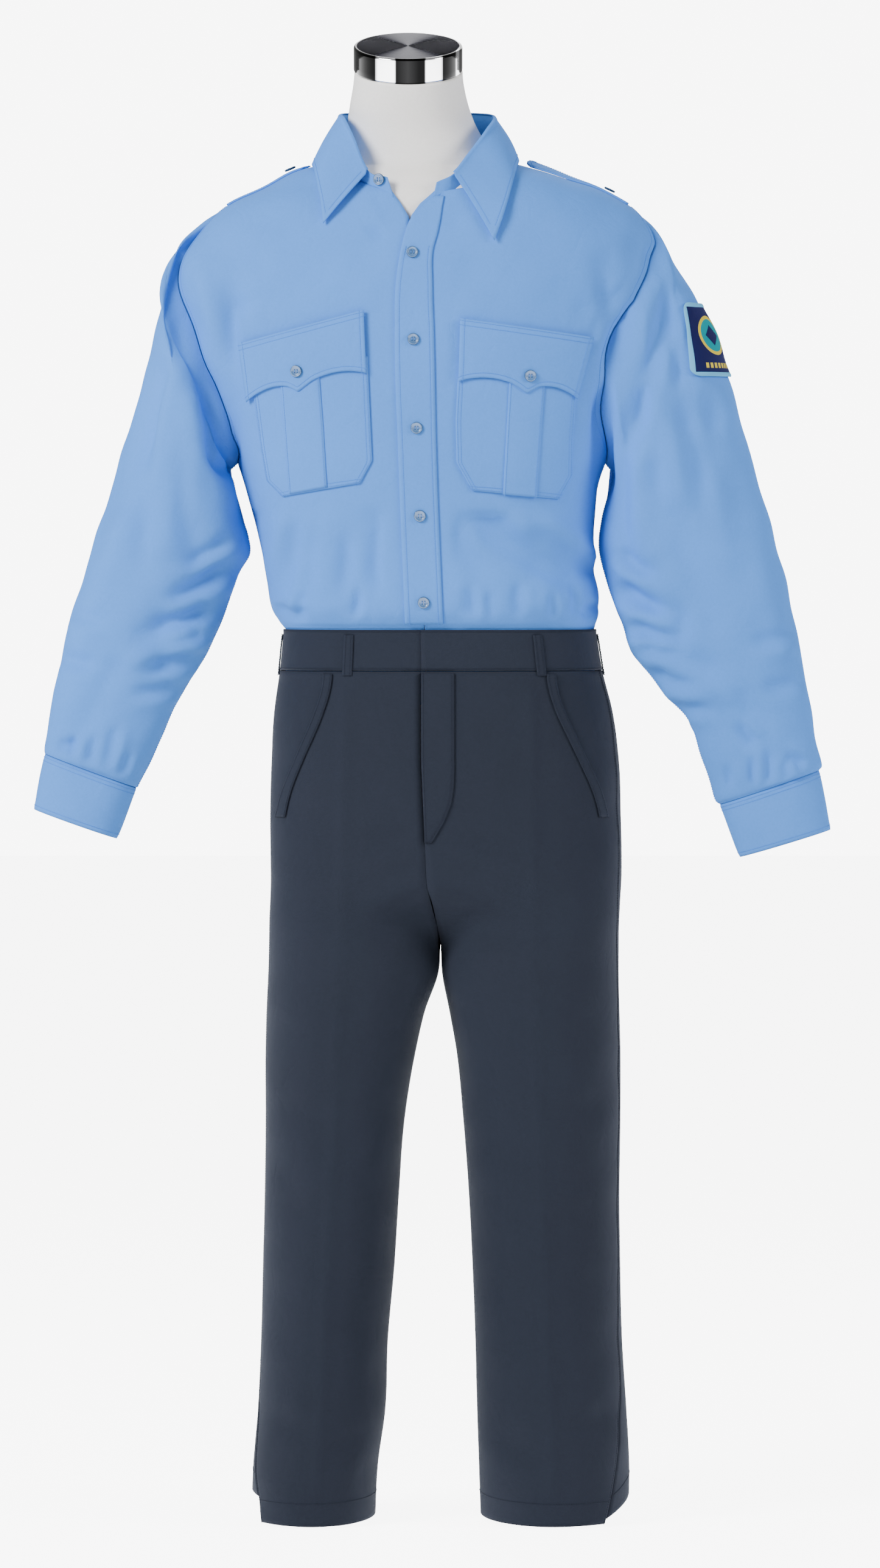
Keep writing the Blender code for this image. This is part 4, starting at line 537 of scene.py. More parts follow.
def smooth_curve(table):
    """Gives a function that reads a table's other columns at values of its first, along a smooth curve."""
    turned = table if table[0, 0] < table[-1, 0] else table[::-1]
    knots, columns = turned[:, 0].astype(float), turned[:, 1:].astype(float)
    slopes = np.gradient(columns, knots, axis=0)

    def read(value):
        value = np.clip(np.asarray(value, float), knots[0], knots[-1])
        i = np.clip(np.searchsorted(knots, value, side="right") - 1, 0, len(knots) - 2)
        step = (knots[i + 1] - knots[i])[..., None]
        u = (value - knots[i])[..., None] / step
        a, b = columns[i], columns[i + 1]
        rise_a, rise_b = slopes[i] * step, slopes[i + 1] * step
        return (a * (2 * u**3 - 3 * u**2 + 1) + b * (3 * u**2 - 2 * u**3)
                + rise_a * (u**3 - 2 * u**2 + u) + rise_b * (u**3 - u**2))

    return read


def numbered(table):
    """A table with its row numbers as a first column."""
    return np.column_stack([np.arange(len(table)), table])


def lerp(a, b, share):
    return a + (b - a) * share


def smoothstep(x):
    x = np.clip(x, 0.0, 1.0)
    return x * x * (3 - 2 * x)


def signed_power(value, power):
    return np.sign(value) * np.abs(value) ** power


def unit(vectors):
    return vectors / np.maximum(np.linalg.norm(vectors, axis=-1, keepdims=True), 1e-9)


trunk_sections = smooth_curve(numbered(TRUNK))
armhole_angles = smooth_curve(ARMHOLE)
hip_sections = smooth_curve(HIP)
leg_sections = smooth_curve(LEG)


def fold_height(x, z, side, table):
    """Height that the folds add to a surface at (x, z) seen from the front or the back."""
    total = np.zeros_like(x)
    for x0, z0, x1, z1, width, height, face in table:
        along = np.array([x1 - x0, z1 - z0])
        share = ((x - x0) * along[0] + (z - z0) * along[1]) / (along @ along)
        share = np.clip(share, 0, 1)
        distance = np.hypot(x - x0 - share * along[0], z - z0 - share * along[1])
        total += height * np.exp(-((distance / width) ** 2)) * (np.sign(side) == face)
    return total


def surface_normals(place, p, q):
    """Outward normals of a surface given by place(p, q), from small steps along both of its directions."""
    step = 1e-3
    along_p = place(p + step, q) - place(p - step, q)
    along_q = place(p, q + step) - place(p, q - step)
    return unit(np.cross(along_p, along_q))


def section_point(left, right, front, back, power, angle):
    """Point (x, y) of a rounded section at an angle: 0 right, 90 back, 180 left, 270 front."""
    c, s = np.cos(np.radians(angle)), np.sin(np.radians(angle))
    x = (left + right) / 2 + (right - left) / 2 * signed_power(c, 2 / power)
    y = np.where(s < 0, -front, back) * signed_power(s, 2 / power)
    return x, y


def section_angle(left, right, power, x, side):
    """Angle of a rounded section's point with this x, on its front or its back."""
    share = np.clip((x - (left + right) / 2) / ((right - left) / 2), -0.999, 0.999)
    angle = np.degrees(np.arccos(signed_power(share, power / 2)))
    return angle if side == BACK else 360 - angle


def trunk_base(row, angle):
    z, left, right, front, back, power = np.moveaxis(trunk_sections(row), -1, 0)
    x, y = section_point(left, right, front, back, power, angle)
    return np.stack([x, y, z], axis=-1)


def trunk_normals(row, angle):
    return surface_normals(trunk_base, row, angle)


def fold_room(base):
    """1 where the shirt's body may fold, falling to 0 under the placket and the pockets."""
    room = np.ones(base.shape[:-1])
    for left, right, bottom, top in FLAT_ZONES:
        beside = np.maximum(left - base[..., 0], base[..., 0] - right)
        above = np.maximum(bottom - base[..., 2], base[..., 2] - top)
        distance = np.maximum(np.maximum(beside, above), 0)
        room = np.where(base[..., 1] < 0, room * smoothstep(distance / FLAT_ZONE_MARGIN), room)
    return room


def trunk_row(z):
    """TRUNK row at a height, on the part of the body above the waist."""
    rows = np.linspace(0, 17, 681)
    heights = trunk_sections(rows)[:, 0]
    return np.interp(-np.asarray(z, float), -heights, rows)


def front_place(x, z):
    """Row and angle of the point of the shirt's front that is seen at (x, z)."""
    row = trunk_row(z)
    _, left, right, _, _, power = np.moveaxis(trunk_sections(row), -1, 0)
    return row, section_angle(left, right, power, x, FRONT)


def front_normal(x, z):
    row, angle = front_place(x, z)
    return trunk_normals(row, angle)


def armhole_edge(row, column):
    """Angle from the side line to the armhole's edge: columns left front, back, right front, back."""
    share = np.clip((row - ARM_TOP) / (ARM_BOTTOM - ARM_TOP), 0, 1)
    return np.maximum(armhole_angles(share)[..., column], 0)


def grid_normals(points, closed=False):
    """Outward-or-inward normals of a grid of points, by differences between neighbours."""
    down = np.gradient(points, axis=0)
    if closed:
        across = np.roll(points, -1, axis=1) - np.roll(points, 1, axis=1)
    else:
        across = np.gradient(points, axis=1)
    return unit(np.cross(down, across))


def trim(points, start=0.0, end=0.0):
    """Moves a grid's first and last column in along the surface, to leave the gap of a seam."""
    points = points.copy()
    points[:, 0] += unit(points[:, 1] - points[:, 0]) * start
    points[:, -1] += unit(points[:, -2] - points[:, -1]) * end
    return points


def tube_ring(section, count):
    """One sleeve or cuff section: starts at the outer line and goes round by the front."""
    x_out, z_out, x_in, z_in, front, back = section
    turn = np.linspace(0, 2 * math.pi, count, endpoint=False)
    c = signed_power(np.cos(turn), 2 / SLEEVE_ROUNDNESS)
    s = signed_power(np.sin(turn), 2 / SLEEVE_ROUNDNESS)
    middle = np.array([(x_out + x_in) / 2, (front + back) / 2, (z_out + z_in) / 2])
    across = np.array([x_out - x_in, 0, z_out - z_in]) / 2
    return middle + c[:, None] * across + s[:, None] * np.array([0, -(back - front) / 2, 0])


def outward_normals(grid):
    """Normals of a tube's grid that point away from its middle."""
    normals = grid_normals(grid, closed=True)
    middle = grid.mean(axis=1, keepdims=True)
    inward = (normals * (grid - middle)).sum(axis=-1).mean() < 0
    return -normals if inward else normals


def flap_edge(point):
    """How the flap's lower edge departs from a straight line: two scallops and a middle point."""
    def bend(share):
        half = np.where(share < point, share / point, (1 - share) / (1 - point))
        return FLAP_SCALLOP * np.sin(math.pi * half) ** 0.8 * (half > 0) - FLAP_TIP * smoothstep(half * 4 - 3)
    return bend


def trouser_base(panel, side, share, z):
    face = FRONT if panel == "front" else BACK
    hip_left, hip_right, hip_front, hip_back, hip_power = np.moveaxis(hip_sections(z), -1, 0)
    order = MIDDLE_SEAM[::-1]
    middle_x = np.interp(z, order[:, 0], order[:, 1 if face == FRONT else 2])
    gap = SEAM_GAP / 2 * (-1 if side == "left" else 1)
    middle_angle = section_angle(hip_left, hip_right, hip_power, middle_x + gap, face)
    order = OUTER_SEAM[::-1]
    outer = np.interp(z, order[:, 0], order[:, 1 if side == "left" else 2])
    if face == BACK and side == "right":
        outer = outer - 360
    hip_x, hip_y = section_point(hip_left, hip_right, hip_front, hip_back, hip_power,
                                 lerp(outer, middle_angle, share))
    columns = np.moveaxis(leg_sections(z), -1, 0)
    left, right = (columns[0], columns[1]) if side == "left" else (columns[2], columns[3])
    inner = {("front", "left"): 360.0, ("back", "left"): 0.0}.get((panel, side), 180.0)
    leg_x, leg_y = section_point(left, right, columns[4], columns[5], columns[6], lerp(outer, inner, share))
    blend = smoothstep((CROTCH_TOP - z) / (CROTCH_TOP - CROTCH))
    return np.stack([lerp(hip_x, leg_x, blend), lerp(hip_y, leg_y, blend), z + 0 * hip_x], axis=-1)


def hip_point(angle, z, lift):
    left, right, front, back, power = np.moveaxis(hip_sections(z), -1, 0)
    x, y = section_point(left, right, front, back, power, angle)
    step_x, step_y = section_point(left, right, front, back, power, angle + 0.5)
    normal = unit(np.stack([step_y - y, x - step_x, 0 * x], axis=-1))
    return np.stack([x, y, z + 0 * x], axis=-1) + normal * lift


def form_ring(centre, half_width, half_depth, tilt, count):
    turn = np.linspace(0, 2 * math.pi, count, endpoint=False)
    ring = np.stack([half_width * np.cos(turn), half_depth * np.sin(turn), 0 * turn], axis=-1)
    angle = math.radians(tilt)
    tilted = np.stack([ring[:, 0], ring[:, 1] * math.cos(angle), ring[:, 1] * math.sin(angle)], axis=-1)
    return np.asarray(centre) + tilted


def badge_place(grid, down, share, steps):
    """Rows and columns of the sleeve's grid under the badge, which is level at its top and bottom."""
    count = grid.shape[1]
    edges = lerp(BADGE_ANGLES[0], BADGE_ANGLES[1], down[..., None])
    columns = lerp(edges[..., 0], edges[..., 1], share) / 360 * count
    j = np.floor(columns).astype(int)
    near = np.arange(BADGE_FIRST_ROW * steps, BADGE_LAST_ROW * steps)
    lines = lerp(grid[near][:, j % count, 2], grid[near][:, (j + 1) % count, 2], columns - j)
    heights = lerp(BADGE_HEIGHTS[0], BADGE_HEIGHTS[1], down) * np.ones_like(share)
    rows = np.empty_like(columns)
    for m, n in np.ndindex(rows.shape):
        rows[m, n] = np.interp(-heights[m, n], -lines[:, m, n], near)
    return rows, columns


form_insets = smooth_curve(FORM_INSET)
STITCH_LINES = {"shirt": [], "trousers": []}


def crease_height(x, z, side, table):
    """Height of the creases at (x, z): a bent trough with a lip on one side, fading at both ends."""
    total = np.zeros(np.shape(x))
    facing = np.sign(side) * np.ones(np.shape(x))
    for x0, z0, x1, z1, x2, z2, narrow, depth, lip, face in table:
        width = narrow * CREASE_SPREAD
        reach = 4.5 * width
        near = (x > min(x0, x1, x2) - reach) & (x < max(x0, x1, x2) + reach)
        near &= (z > min(z0, z1, z2) - reach) & (z < max(z0, z1, z2) + reach)
        near &= facing == face
        if not near.any():
            continue
        at = np.linspace(0, 1, CREASE_STEPS + 1)[:, None]
        start, middle, end = np.array([x0, z0]), np.array([x1, z1]), np.array([x2, z2])
        bend = 2 * middle - (start + end) / 2
        path = (1 - at) ** 2 * start + 2 * at * (1 - at) * bend + at**2 * end
        best = np.full(near.sum(), 1e9)
        signed, along = np.zeros_like(best), np.zeros_like(best)
        for k in range(CREASE_STEPS):
            step = path[k + 1] - path[k]
            dx, dz = x[near] - path[k, 0], z[near] - path[k, 1]
            share = np.clip((dx * step[0] + dz * step[1]) / (step @ step), 0, 1)
            dx, dz = dx - share * step[0], dz - share * step[1]
            distance = np.hypot(dx, dz)
            closer = distance < best
            best = np.where(closer, distance, best)
            signed = np.where(closer, np.sign(step[0] * dz - step[1] * dx) * distance, signed)
            along = np.where(closer, (k + share) / CREASE_STEPS, along)
        taper = smoothstep(along / CREASE_FADE) * smoothstep((1 - along) / CREASE_FADE)
        trough = -depth * np.exp(-((best / width) ** 2))
        beside = signed * np.sign(lip) - LIP_DISTANCE * width
        total[near] += (trough + abs(lip) * np.exp(-((beside / width) ** 2))) * taper
    return total


def unevenness(x, z, height):
    """Slow waves that keep the cloth from lying perfectly even."""
    total = np.zeros(np.shape(x))
    for k, (across, up, share) in enumerate(UNEVEN_WAVES):
        total += share * np.sin(across * x + up * z + 1.7 * k)
    return total * height


def trunk_point(row, angle, lift=0.0):
    """Point of the shirt's body with its folds and creases, moved out by lift."""
    look = bpy.context.scene.uniform_shirt
    base = trunk_base(row, angle)
    x, y, z = base[..., 0], base[..., 1], base[..., 2]
    side = smoothstep(np.abs(y) / SIDE_FADE)
    height = fold_height(x, z, y, SHIRT_FOLDS) * side * smoothstep((z - TUCK_HEIGHT) / TUCK_FADE)
    finer = crease_height(x, z, y, SHIRT_CREASES) * smoothstep(np.abs(y) / (SIDE_FADE / 2))
    finer = finer + unevenness(x, z, look.unevenness / MM)
    height = height + finer * look.crease_strength * smoothstep((z - TUCK_HEIGHT + 5) / (TUCK_FADE / 2))
    height = height * fold_room(base)
    room = np.maximum(form_insets(np.clip(row, 1, TAIL_ROW))[..., 0] - SHIRT_WALL - FORM_CLEARANCE, 0.3)
    height = np.where(height < 0, -room * np.tanh(-height / room), height)
    return base + trunk_normals(row, angle) * (height + lift)[..., None]


def on_front(x, z, lift):
    row, angle = front_place(x, z)
    return trunk_point(row, angle, np.broadcast_to(lift, np.shape(row)))


def body_rows():
    """TRUNK rows of the body's fine grid."""
    below = [ARM_BOTTOM, *ROWS_BELOW_ARM]
    neck_at = np.linspace(0, NECK_ROWS, NECK_ROWS * NECK_STEPS + 1)
    arm_at = np.linspace(0, ARM_ROWS, ARM_ROWS * ARM_STEPS + 1)
    low_at = np.linspace(0, len(ROWS_BELOW_ARM), len(ROWS_BELOW_ARM) * LOW_STEPS + 1)
    neck = lerp(SHOULDER_ROW, ARM_TOP, neck_at / NECK_ROWS)
    turn = np.cos(arm_at / ARM_ROWS * math.pi)
    armhole = (ARM_TOP + ARM_BOTTOM) / 2 - (ARM_BOTTOM - ARM_TOP) / 2 * turn
    low = np.interp(low_at, np.arange(len(below)), below)
    return np.concatenate([neck, armhole[1:], low[1:]])


BODY_ROWS = body_rows()
ARM_SPAN = slice(NECK_ROWS * NECK_STEPS, NECK_ROWS * NECK_STEPS + ARM_ROWS * ARM_STEPS + 1)
YOKE_ROW = NECK_ROWS * NECK_STEPS + (YOKE_ROW_INDEX - NECK_ROWS) * ARM_STEPS


def front_grid(side, columns=FRONT_COLUMNS):
    """Rows and angles of one front's grid, side line or armhole first, middle line last."""
    column_edge, column_armhole, side_angle = (1, 0, 180.0) if side == "left" else (2, 2, 360.0)
    share = np.linspace(0, 1, columns)[None, :]
    rows = np.repeat(BODY_ROWS[:, None], columns, axis=1)
    edge_table = FRONT_EDGE[::-1, [0, column_edge]]
    turn = 1.0 if side == "left" else -1.0
    angles = None
    for _ in range(6):
        z, left, right, _, _, power = np.moveaxis(trunk_sections(rows), -1, 0)
        edge_x = np.interp(z, edge_table[:, 0], edge_table[:, 1])
        edge_angle = section_angle(left, right, power, edge_x, FRONT)
        start = side_angle + turn * armhole_edge(rows, column_armhole)
        angles = start + (edge_angle - start) * share
        neck_row = np.interp(angles[0], NECK_SEAM[:, 0], NECK_SEAM[:, 1])
        share_down = np.clip((BODY_ROWS[:, None] - SHOULDER_ROW) / (NECK_FREE_ROW - SHOULDER_ROW), 0, 1)
        rows = np.maximum(lerp(neck_row[None, :], NECK_FREE_ROW, share_down), BODY_ROWS[:, None])
    return rows, angles


def back_grid(columns=BACK_COLUMNS):
    share = np.linspace(0, 1, columns)[None, :]
    rows = np.repeat(BODY_ROWS[:, None], columns, axis=1)
    start = 180 - armhole_edge(rows, 1)
    end = armhole_edge(rows, 3)
    return rows, start + (end - start) * share


def armhole_loop(side):
    """The armhole's edge as a loop of points: from the top down the front and up the back."""
    front_rows, front_angles = front_grid(side)
    back_rows, back_angles = back_grid()
    back_column = 0 if side == "left" else -1
    front = trunk_point(front_rows[ARM_SPAN, 0], front_angles[ARM_SPAN, 0])
    back = trunk_point(back_rows[ARM_SPAN, back_column], back_angles[ARM_SPAN, back_column])
    loop = np.concatenate([front, back[-2:0:-1]])
    centre = loop.mean(axis=0)
    apart = np.sign(centre[1] - loop[:, 1])
    apart[[0, len(loop) // 2]] = 0
    loop = loop + unit(centre - loop) * (4 * SEAM_GAP)
    loop[:, 1] += apart * (2 * SEAM_GAP)
    return loop


def sleeve_outer(side):
    look = bpy.context.scene.uniform_shirt
    loop = armhole_loop(side)
    count = len(loop)
    top, bottom = loop[0], loop[count // 2]
    head = (top[0], top[2], bottom[0], bottom[2], loop[:, 1].min(), loop[:, 1].max())
    bulge = loop - tube_ring(head, count)
    sections = smooth_curve(numbered(np.array([head, *SLEEVE[side]])))
    places = np.linspace(0, len(SLEEVE[side]), len(SLEEVE[side]) * SLEEVE_STEPS + 1)
    tubes = np.array([tube_ring(sections(place), count) for place in places])
    left_over = 1 - smoothstep(places / SLEEVE_HEAD_ROWS)
    grid = tubes + bulge * left_over[:, None, None]
    turn = np.linspace(0, 2 * math.pi, count, endpoint=False)
    facing = np.broadcast_to(-np.sin(turn), grid.shape[:2])
    x, z = grid[..., 0], grid[..., 2]
    ends = (smoothstep(places / 1.0) * smoothstep((places[-1] - places) / 0.8))[:, None]
    height = fold_height(x, z, facing, SLEEVE_FOLDS[side]) * smoothstep(np.abs(facing) / 0.5)
    finer = crease_height(x, z, facing, SLEEVE_CREASES[side]) * smoothstep(np.abs(facing) / 0.3)
    finer = finer + unevenness(x + 0.6 * grid[..., 1], z, look.unevenness / MM)
    height = (height + finer * look.crease_strength) * ends
    return grid + outward_normals(grid) * height[..., None]


def trouser_relief(x, z, facing):
    look = bpy.context.scene.uniform_trousers
    finer = crease_height(x, z, facing, TROUSER_CREASES) + unevenness(x, z, look.unevenness / MM)
    return fold_height(x, z, facing, TROUSER_FOLDS) + finer * look.crease_strength


def trouser_point(panel, side, share, z, lift=0.0):
    """Point of a trouser panel: share runs from the outer seam to the middle or inner seam."""
    base = trouser_base(panel, side, share, z)
    face = FRONT if panel == "front" else BACK
    x, facing = base[..., 0], face * np.ones_like(base[..., 0])
    fade = smoothstep(np.abs(base[..., 1]) / 30.0) * smoothstep((z - 2) / 20.0)
    height = trouser_relief(x, z, facing) * fade
    normal = surface_normals(lambda p, q: trouser_base(panel, side, p, q * 100), share, z / 100)
    if (panel == "front") != (side == "left"):
        normal = -normal
    return base + normal * (height + lift)[..., None]


def on_trousers(x, z, lift):
    """Point of the trousers' front above the crotch, seen at (x, z) and moved out."""
    left, right, _, _, power = np.moveaxis(hip_sections(z), -1, 0)
    height = trouser_relief(x, z, np.full_like(x, FRONT))
    return hip_point(section_angle(left, right, power, x, FRONT), z, (height + lift)[..., None])


def grid_lengths(points, axis):
    """Length from the start of each line of a grid to each of its points."""
    steps = np.linalg.norm(np.diff(points, axis=axis), axis=-1)
    shape = list(points.shape[:2])
    shape[axis] = 1
    return np.concatenate([np.zeros(shape), np.cumsum(steps, axis=axis)], axis=axis)


def add_object(name, data):
    made = bpy.data.objects.new(name, data)
    bpy.context.collection.objects.link(made)
    return made


def claim(piece, slot, *nodes):
    """Puts a piece on the one body in place of the nodes that it stands for; slot is not used."""
    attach(piece, "root")
    if nodes:
        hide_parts(*nodes)


def mesh_of_faces(name, points, corners, uv, materials):
    """A mesh of four-sided faces with a map of its cloth in metres."""
    mesh = bpy.data.meshes.new(name)
    mesh.vertices.add(len(points))
    mesh.vertices.foreach_set("co", np.ascontiguousarray(points * MM, dtype=np.float32).ravel())
    mesh.loops.add(corners.size)
    mesh.loops.foreach_set("vertex_index", np.ascontiguousarray(corners, dtype=np.int32).ravel())
    mesh.polygons.add(len(corners))
    starts = np.arange(0, corners.size, corners.shape[1], dtype=np.int32)
    mesh.polygons.foreach_set("loop_start", starts)
    mesh.update(calc_edges=True)
    if uv is not None:
        layer = mesh.uv_layers.new(name="cloth")
        layer.data.foreach_set("uv", np.ascontiguousarray(uv * MM, dtype=np.float32).ravel())
    for material in materials:
        mesh.materials.append(material)
    mesh.shade_smooth()
    return add_object(name, mesh)


def quads(*corners):
    """Four-sided faces whose corners are given as (row, column, layer)."""
    return np.stack([np.stack(np.broadcast_arrays(*corner), axis=-1) for corner in corners], axis=1)


def cloth_wall(name, outer, inner, material, closed=False):
    """A wall of cloth between two grids of points; closed joins the last column to the first."""
    rows, columns = outer.shape[:2]
    spans = columns if closed else columns - 1
    wrapped = np.concatenate([outer, outer[:, :1]], axis=1) if closed else outer
    across, down = grid_lengths(wrapped, 1), grid_lengths(wrapped, 0)
    across = across - across[:, across.shape[1] // 2, None]
    i, j = (grid.ravel() for grid in np.meshgrid(np.arange(rows - 1), np.arange(spans), indexing="ij"))
    k, m, last, end = np.arange(spans), np.arange(rows - 1), rows - 1, columns - 1
    faces = [
        quads((i, j, 0), (i, j + 1, 0), (i + 1, j + 1, 0), (i + 1, j, 0)),
        quads((i + 1, j, 1), (i + 1, j + 1, 1), (i, j + 1, 1), (i, j, 1)),
        quads((0, k + 1, 0), (0, k, 0), (0, k, 1), (0, k + 1, 1)),
        quads((last, k, 0), (last, k + 1, 0), (last, k + 1, 1), (last, k, 1)),
    ]
    if not closed:
        faces.append(quads((m, 0, 0), (m + 1, 0, 0), (m + 1, 0, 1), (m, 0, 1)))
        faces.append(quads((m + 1, end, 0), (m, end, 0), (m, end, 1), (m + 1, end, 1)))
    rows_at, columns_at, layer = np.moveaxis(np.concatenate(faces), -1, 0)
    corners = layer * rows * columns + rows_at * columns + columns_at % columns
    uv = np.stack([across[rows_at, columns_at], down[rows_at, columns_at]], axis=-1)
    points = np.concatenate([outer.reshape(-1, 3), inner.reshape(-1, 3)])
    a, b, c, d = (points[corners[:, n]] for n in range(4))
    volume = (np.cross(a, b) * c).sum() + (np.cross(a, c) * d).sum()
    if volume < 0:
        corners, uv = corners[:, ::-1], uv[:, ::-1]
    return mesh_of_faces(name, points, corners, uv, [material])


def dress(slot, node, outer, inner, rows=(), closed=False):
    material = {"shirt": shirt_material, "trousers": trouser_material, "badge": badge_material}[slot]()
    piece = cloth_wall(f"{node}_cloth", outer, inner, material, closed)
    claim(piece, slot, node)
    stitch_rows(slot, outer, inner, rows, closed)
    return piece


def edge_path(grid, edge, distance, closed=False, lift=STITCH_LIFT, part=(0.0, 1.0)):
    """Points on a grid's face at a distance from one of its edges, lifted for a row of stitches."""
    normals = outward_normals(grid) if closed else grid_normals(grid)
    points, lifted = grid, normals
    if edge in ("first_row", "last_row"):
        points, lifted = np.swapaxes(grid, 0, 1), np.swapaxes(normals, 0, 1)
    if edge in ("last_row", "last_column"):
        points, lifted = points[:, ::-1], lifted[:, ::-1]
    lengths = grid_lengths(points, 1)
    path = []
    for line, out, length in zip(points, lifted, lengths):
        at = np.array([np.interp(distance, length, line[:, k]) for k in range(3)])
        up = np.array([np.interp(distance, length, out[:, k]) for k in range(3)])
        path.append(at + unit(up) * lift)
    first, last = (round(share * (len(path) - 1)) for share in part)
    path = np.array(path)[first:last + 1]
    return np.concatenate([path, path[:1]]) if closed else path


def stitch_rows(cloth, outer, inner, rows, closed=False):
    """Notes rows of stitches along a grid's edges: (edge, distance) or (edge, distance, part)."""
    for edge, distance, *part in rows:
        options = {"part": part[0]} if part else {}
        path = edge_path(outer, edge, distance, closed, STITCH_LIFT, **options)
        under = edge_path(outer, edge, distance, closed, -STITCH_LIFT, **options)
        middle = lerp(outer, inner, 0.5)
        away = edge_path(middle, edge, distance, closed, 0.0, **options)
        nearer = np.linalg.norm(path - away, axis=-1).mean() < np.linalg.norm(under - away, axis=-1).mean()
        STITCH_LINES[cloth].append(under if nearer else path)


def panel_walls(rows, angles):
    outer = trim(trunk_point(rows, angles), SEAM_GAP / 2, SEAM_GAP / 2)
    inner = trim(trunk_point(rows, angles, np.full(rows.shape, -SHIRT_WALL)), SEAM_GAP / 2, SEAM_GAP / 2)
    return outer, inner


def revolve(profile, place, normal, sides):
    """Rings of points round a normal, from (radius, height) pairs."""
    normal = unit(np.asarray(normal, float))
    across = unit(np.cross(normal, np.array([0.0, 0.0, 1.0])))
    upward = np.cross(across, normal)
    turn = np.linspace(0, 2 * math.pi, sides, endpoint=False)
    circle = np.cos(turn)[:, None] * across + np.sin(turn)[:, None] * upward
    return np.array([place + circle * radius + normal * height for radius, height in profile])


def ring_corners(rings, sides, start=0):
    i, j = (grid.ravel() for grid in np.meshgrid(np.arange(rings - 1), np.arange(sides), indexing="ij"))
    k = (j + 1) % sides
    return start + np.stack([i * sides + j, i * sides + k, (i + 1) * sides + k, (i + 1) * sides + j], axis=-1)


def add_node(tree, kind, inputs=None, **settings):
    """Adds a shader node with its settings; an input may be a value or another node's output."""
    node = tree.nodes.new(kind)
    for key, value in settings.items():
        setattr(node, key, value)
    for key, value in (inputs or {}).items():
        if isinstance(value, bpy.types.NodeSocket):
            tree.links.new(value, node.inputs[key])
        else:
            node.inputs[key].default_value = value
    return node


def calc(tree, operation, *values):
    return add_node(tree, "ShaderNodeMath", dict(enumerate(values)), operation=operation).outputs[0]


def new_group(name, inputs, outputs):
    """An empty shader group with value inputs and the named outputs, and its two end nodes."""
    tree = bpy.data.node_groups.new(name, "ShaderNodeTree")
    for label, default in inputs.items():
        socket = tree.interface.new_socket(name=label, in_out="INPUT", socket_type="NodeSocketFloat")
        socket.default_value = default
    for label in outputs:
        tree.interface.new_socket(name=label, in_out="OUTPUT", socket_type="NodeSocketFloat")
    return tree, tree.nodes.new("NodeGroupInput"), tree.nodes.new("NodeGroupOutput")


def weave_group():
    """Height of woven threads, from plain weave (Slant 0) to twill (Slant 1), on the cloth's own map."""
    tree, given, result = new_group("woven threads", {"Threads a metre": 1200.0, "Slant": 0.0}, ["Height"])
    place = add_node(tree, "ShaderNodeUVMap", uv_map="cloth").outputs[0]
    axes = add_node(tree, "ShaderNodeSeparateXYZ", {0: place})
    turns = calc(tree, "MULTIPLY", given.outputs[0], math.pi)
    across = calc(tree, "SINE", calc(tree, "MULTIPLY", axes.outputs[0], turns))
    along = calc(tree, "SINE", calc(tree, "MULTIPLY", axes.outputs[1], turns))
    plain = calc(tree, "MULTIPLY", across, along)
    both = calc(tree, "ADD", axes.outputs[0], calc(tree, "MULTIPLY", axes.outputs[1], 1.4))
    twill = calc(tree, "SINE", calc(tree, "MULTIPLY", both, turns))
    mixed = add_node(tree, "ShaderNodeMix", {0: given.outputs[1], 2: plain, 3: twill}).outputs[0]
    tree.links.new(mixed, result.inputs[0])
    return tree


def uneven_group():
    """Cloudy unevenness of a surface in three sizes, and the height of its small wrinkles."""
    tree, given, result = new_group("uneven surface", {"Cloud size": 5.0, "Wrinkle size": 28.0},
                                    ["Clouds", "Mottle", "Wrinkles"])
    place = add_node(tree, "ShaderNodeTexCoord").outputs["Object"]
    clouds = add_node(tree, "ShaderNodeTexNoise", {"Vector": place, "Scale": given.outputs[0], "Detail": 3.0})
    mottle = add_node(tree, "ShaderNodeTexNoise", {"Vector": place, "Scale": 420.0, "Detail": 2.0})
    wrinkle = add_node(tree, "ShaderNodeTexNoise",
                       {"Vector": place, "Scale": given.outputs[1], "Detail": 4.0, "Distortion": 0.6})
    ridge = calc(tree, "ABSOLUTE", calc(tree, "SUBTRACT", wrinkle.outputs[0], 0.5))
    tree.links.new(clouds.outputs[0], result.inputs[0])
    tree.links.new(mottle.outputs[0], result.inputs[1])
    tree.links.new(calc(tree, "POWER", ridge, 0.7), result.inputs[2])
    return tree


def group_in(tree, group, **inputs):
    node = tree.nodes.new("ShaderNodeGroup")
    node.node_tree = group
    for key, value in inputs.items():
        node.inputs[key.replace("_", " ")].default_value = value
    return node


def shader_groups():
    made = {name: bpy.data.node_groups.get(name) for name in ("woven threads", "uneven surface")}
    return made["woven threads"] or weave_group(), made["uneven surface"] or uneven_group()


def new_material(name, **values):
    """A material whose principled shader has the given constants."""
    material = bpy.data.materials.new(name)
    material.use_nodes = True
    shader = material.node_tree.nodes["Principled BSDF"]
    for key, value in values.items():
        shader.inputs[key.replace("_", " ")].default_value = value
    return material, material.node_tree, shader


def shades(tree, mask, low, high, dark, light):
    """A colour between two, by a mask between two values."""
    share = add_node(tree, "ShaderNodeMapRange", {0: mask, 1: low, 2: high}).outputs[0]
    mix = add_node(tree, "ShaderNodeMix", {0: share}, data_type="RGBA")
    mix.inputs[6].default_value = (*dark, 1)
    mix.inputs[7].default_value = (*light, 1)
    return mix.outputs[2]


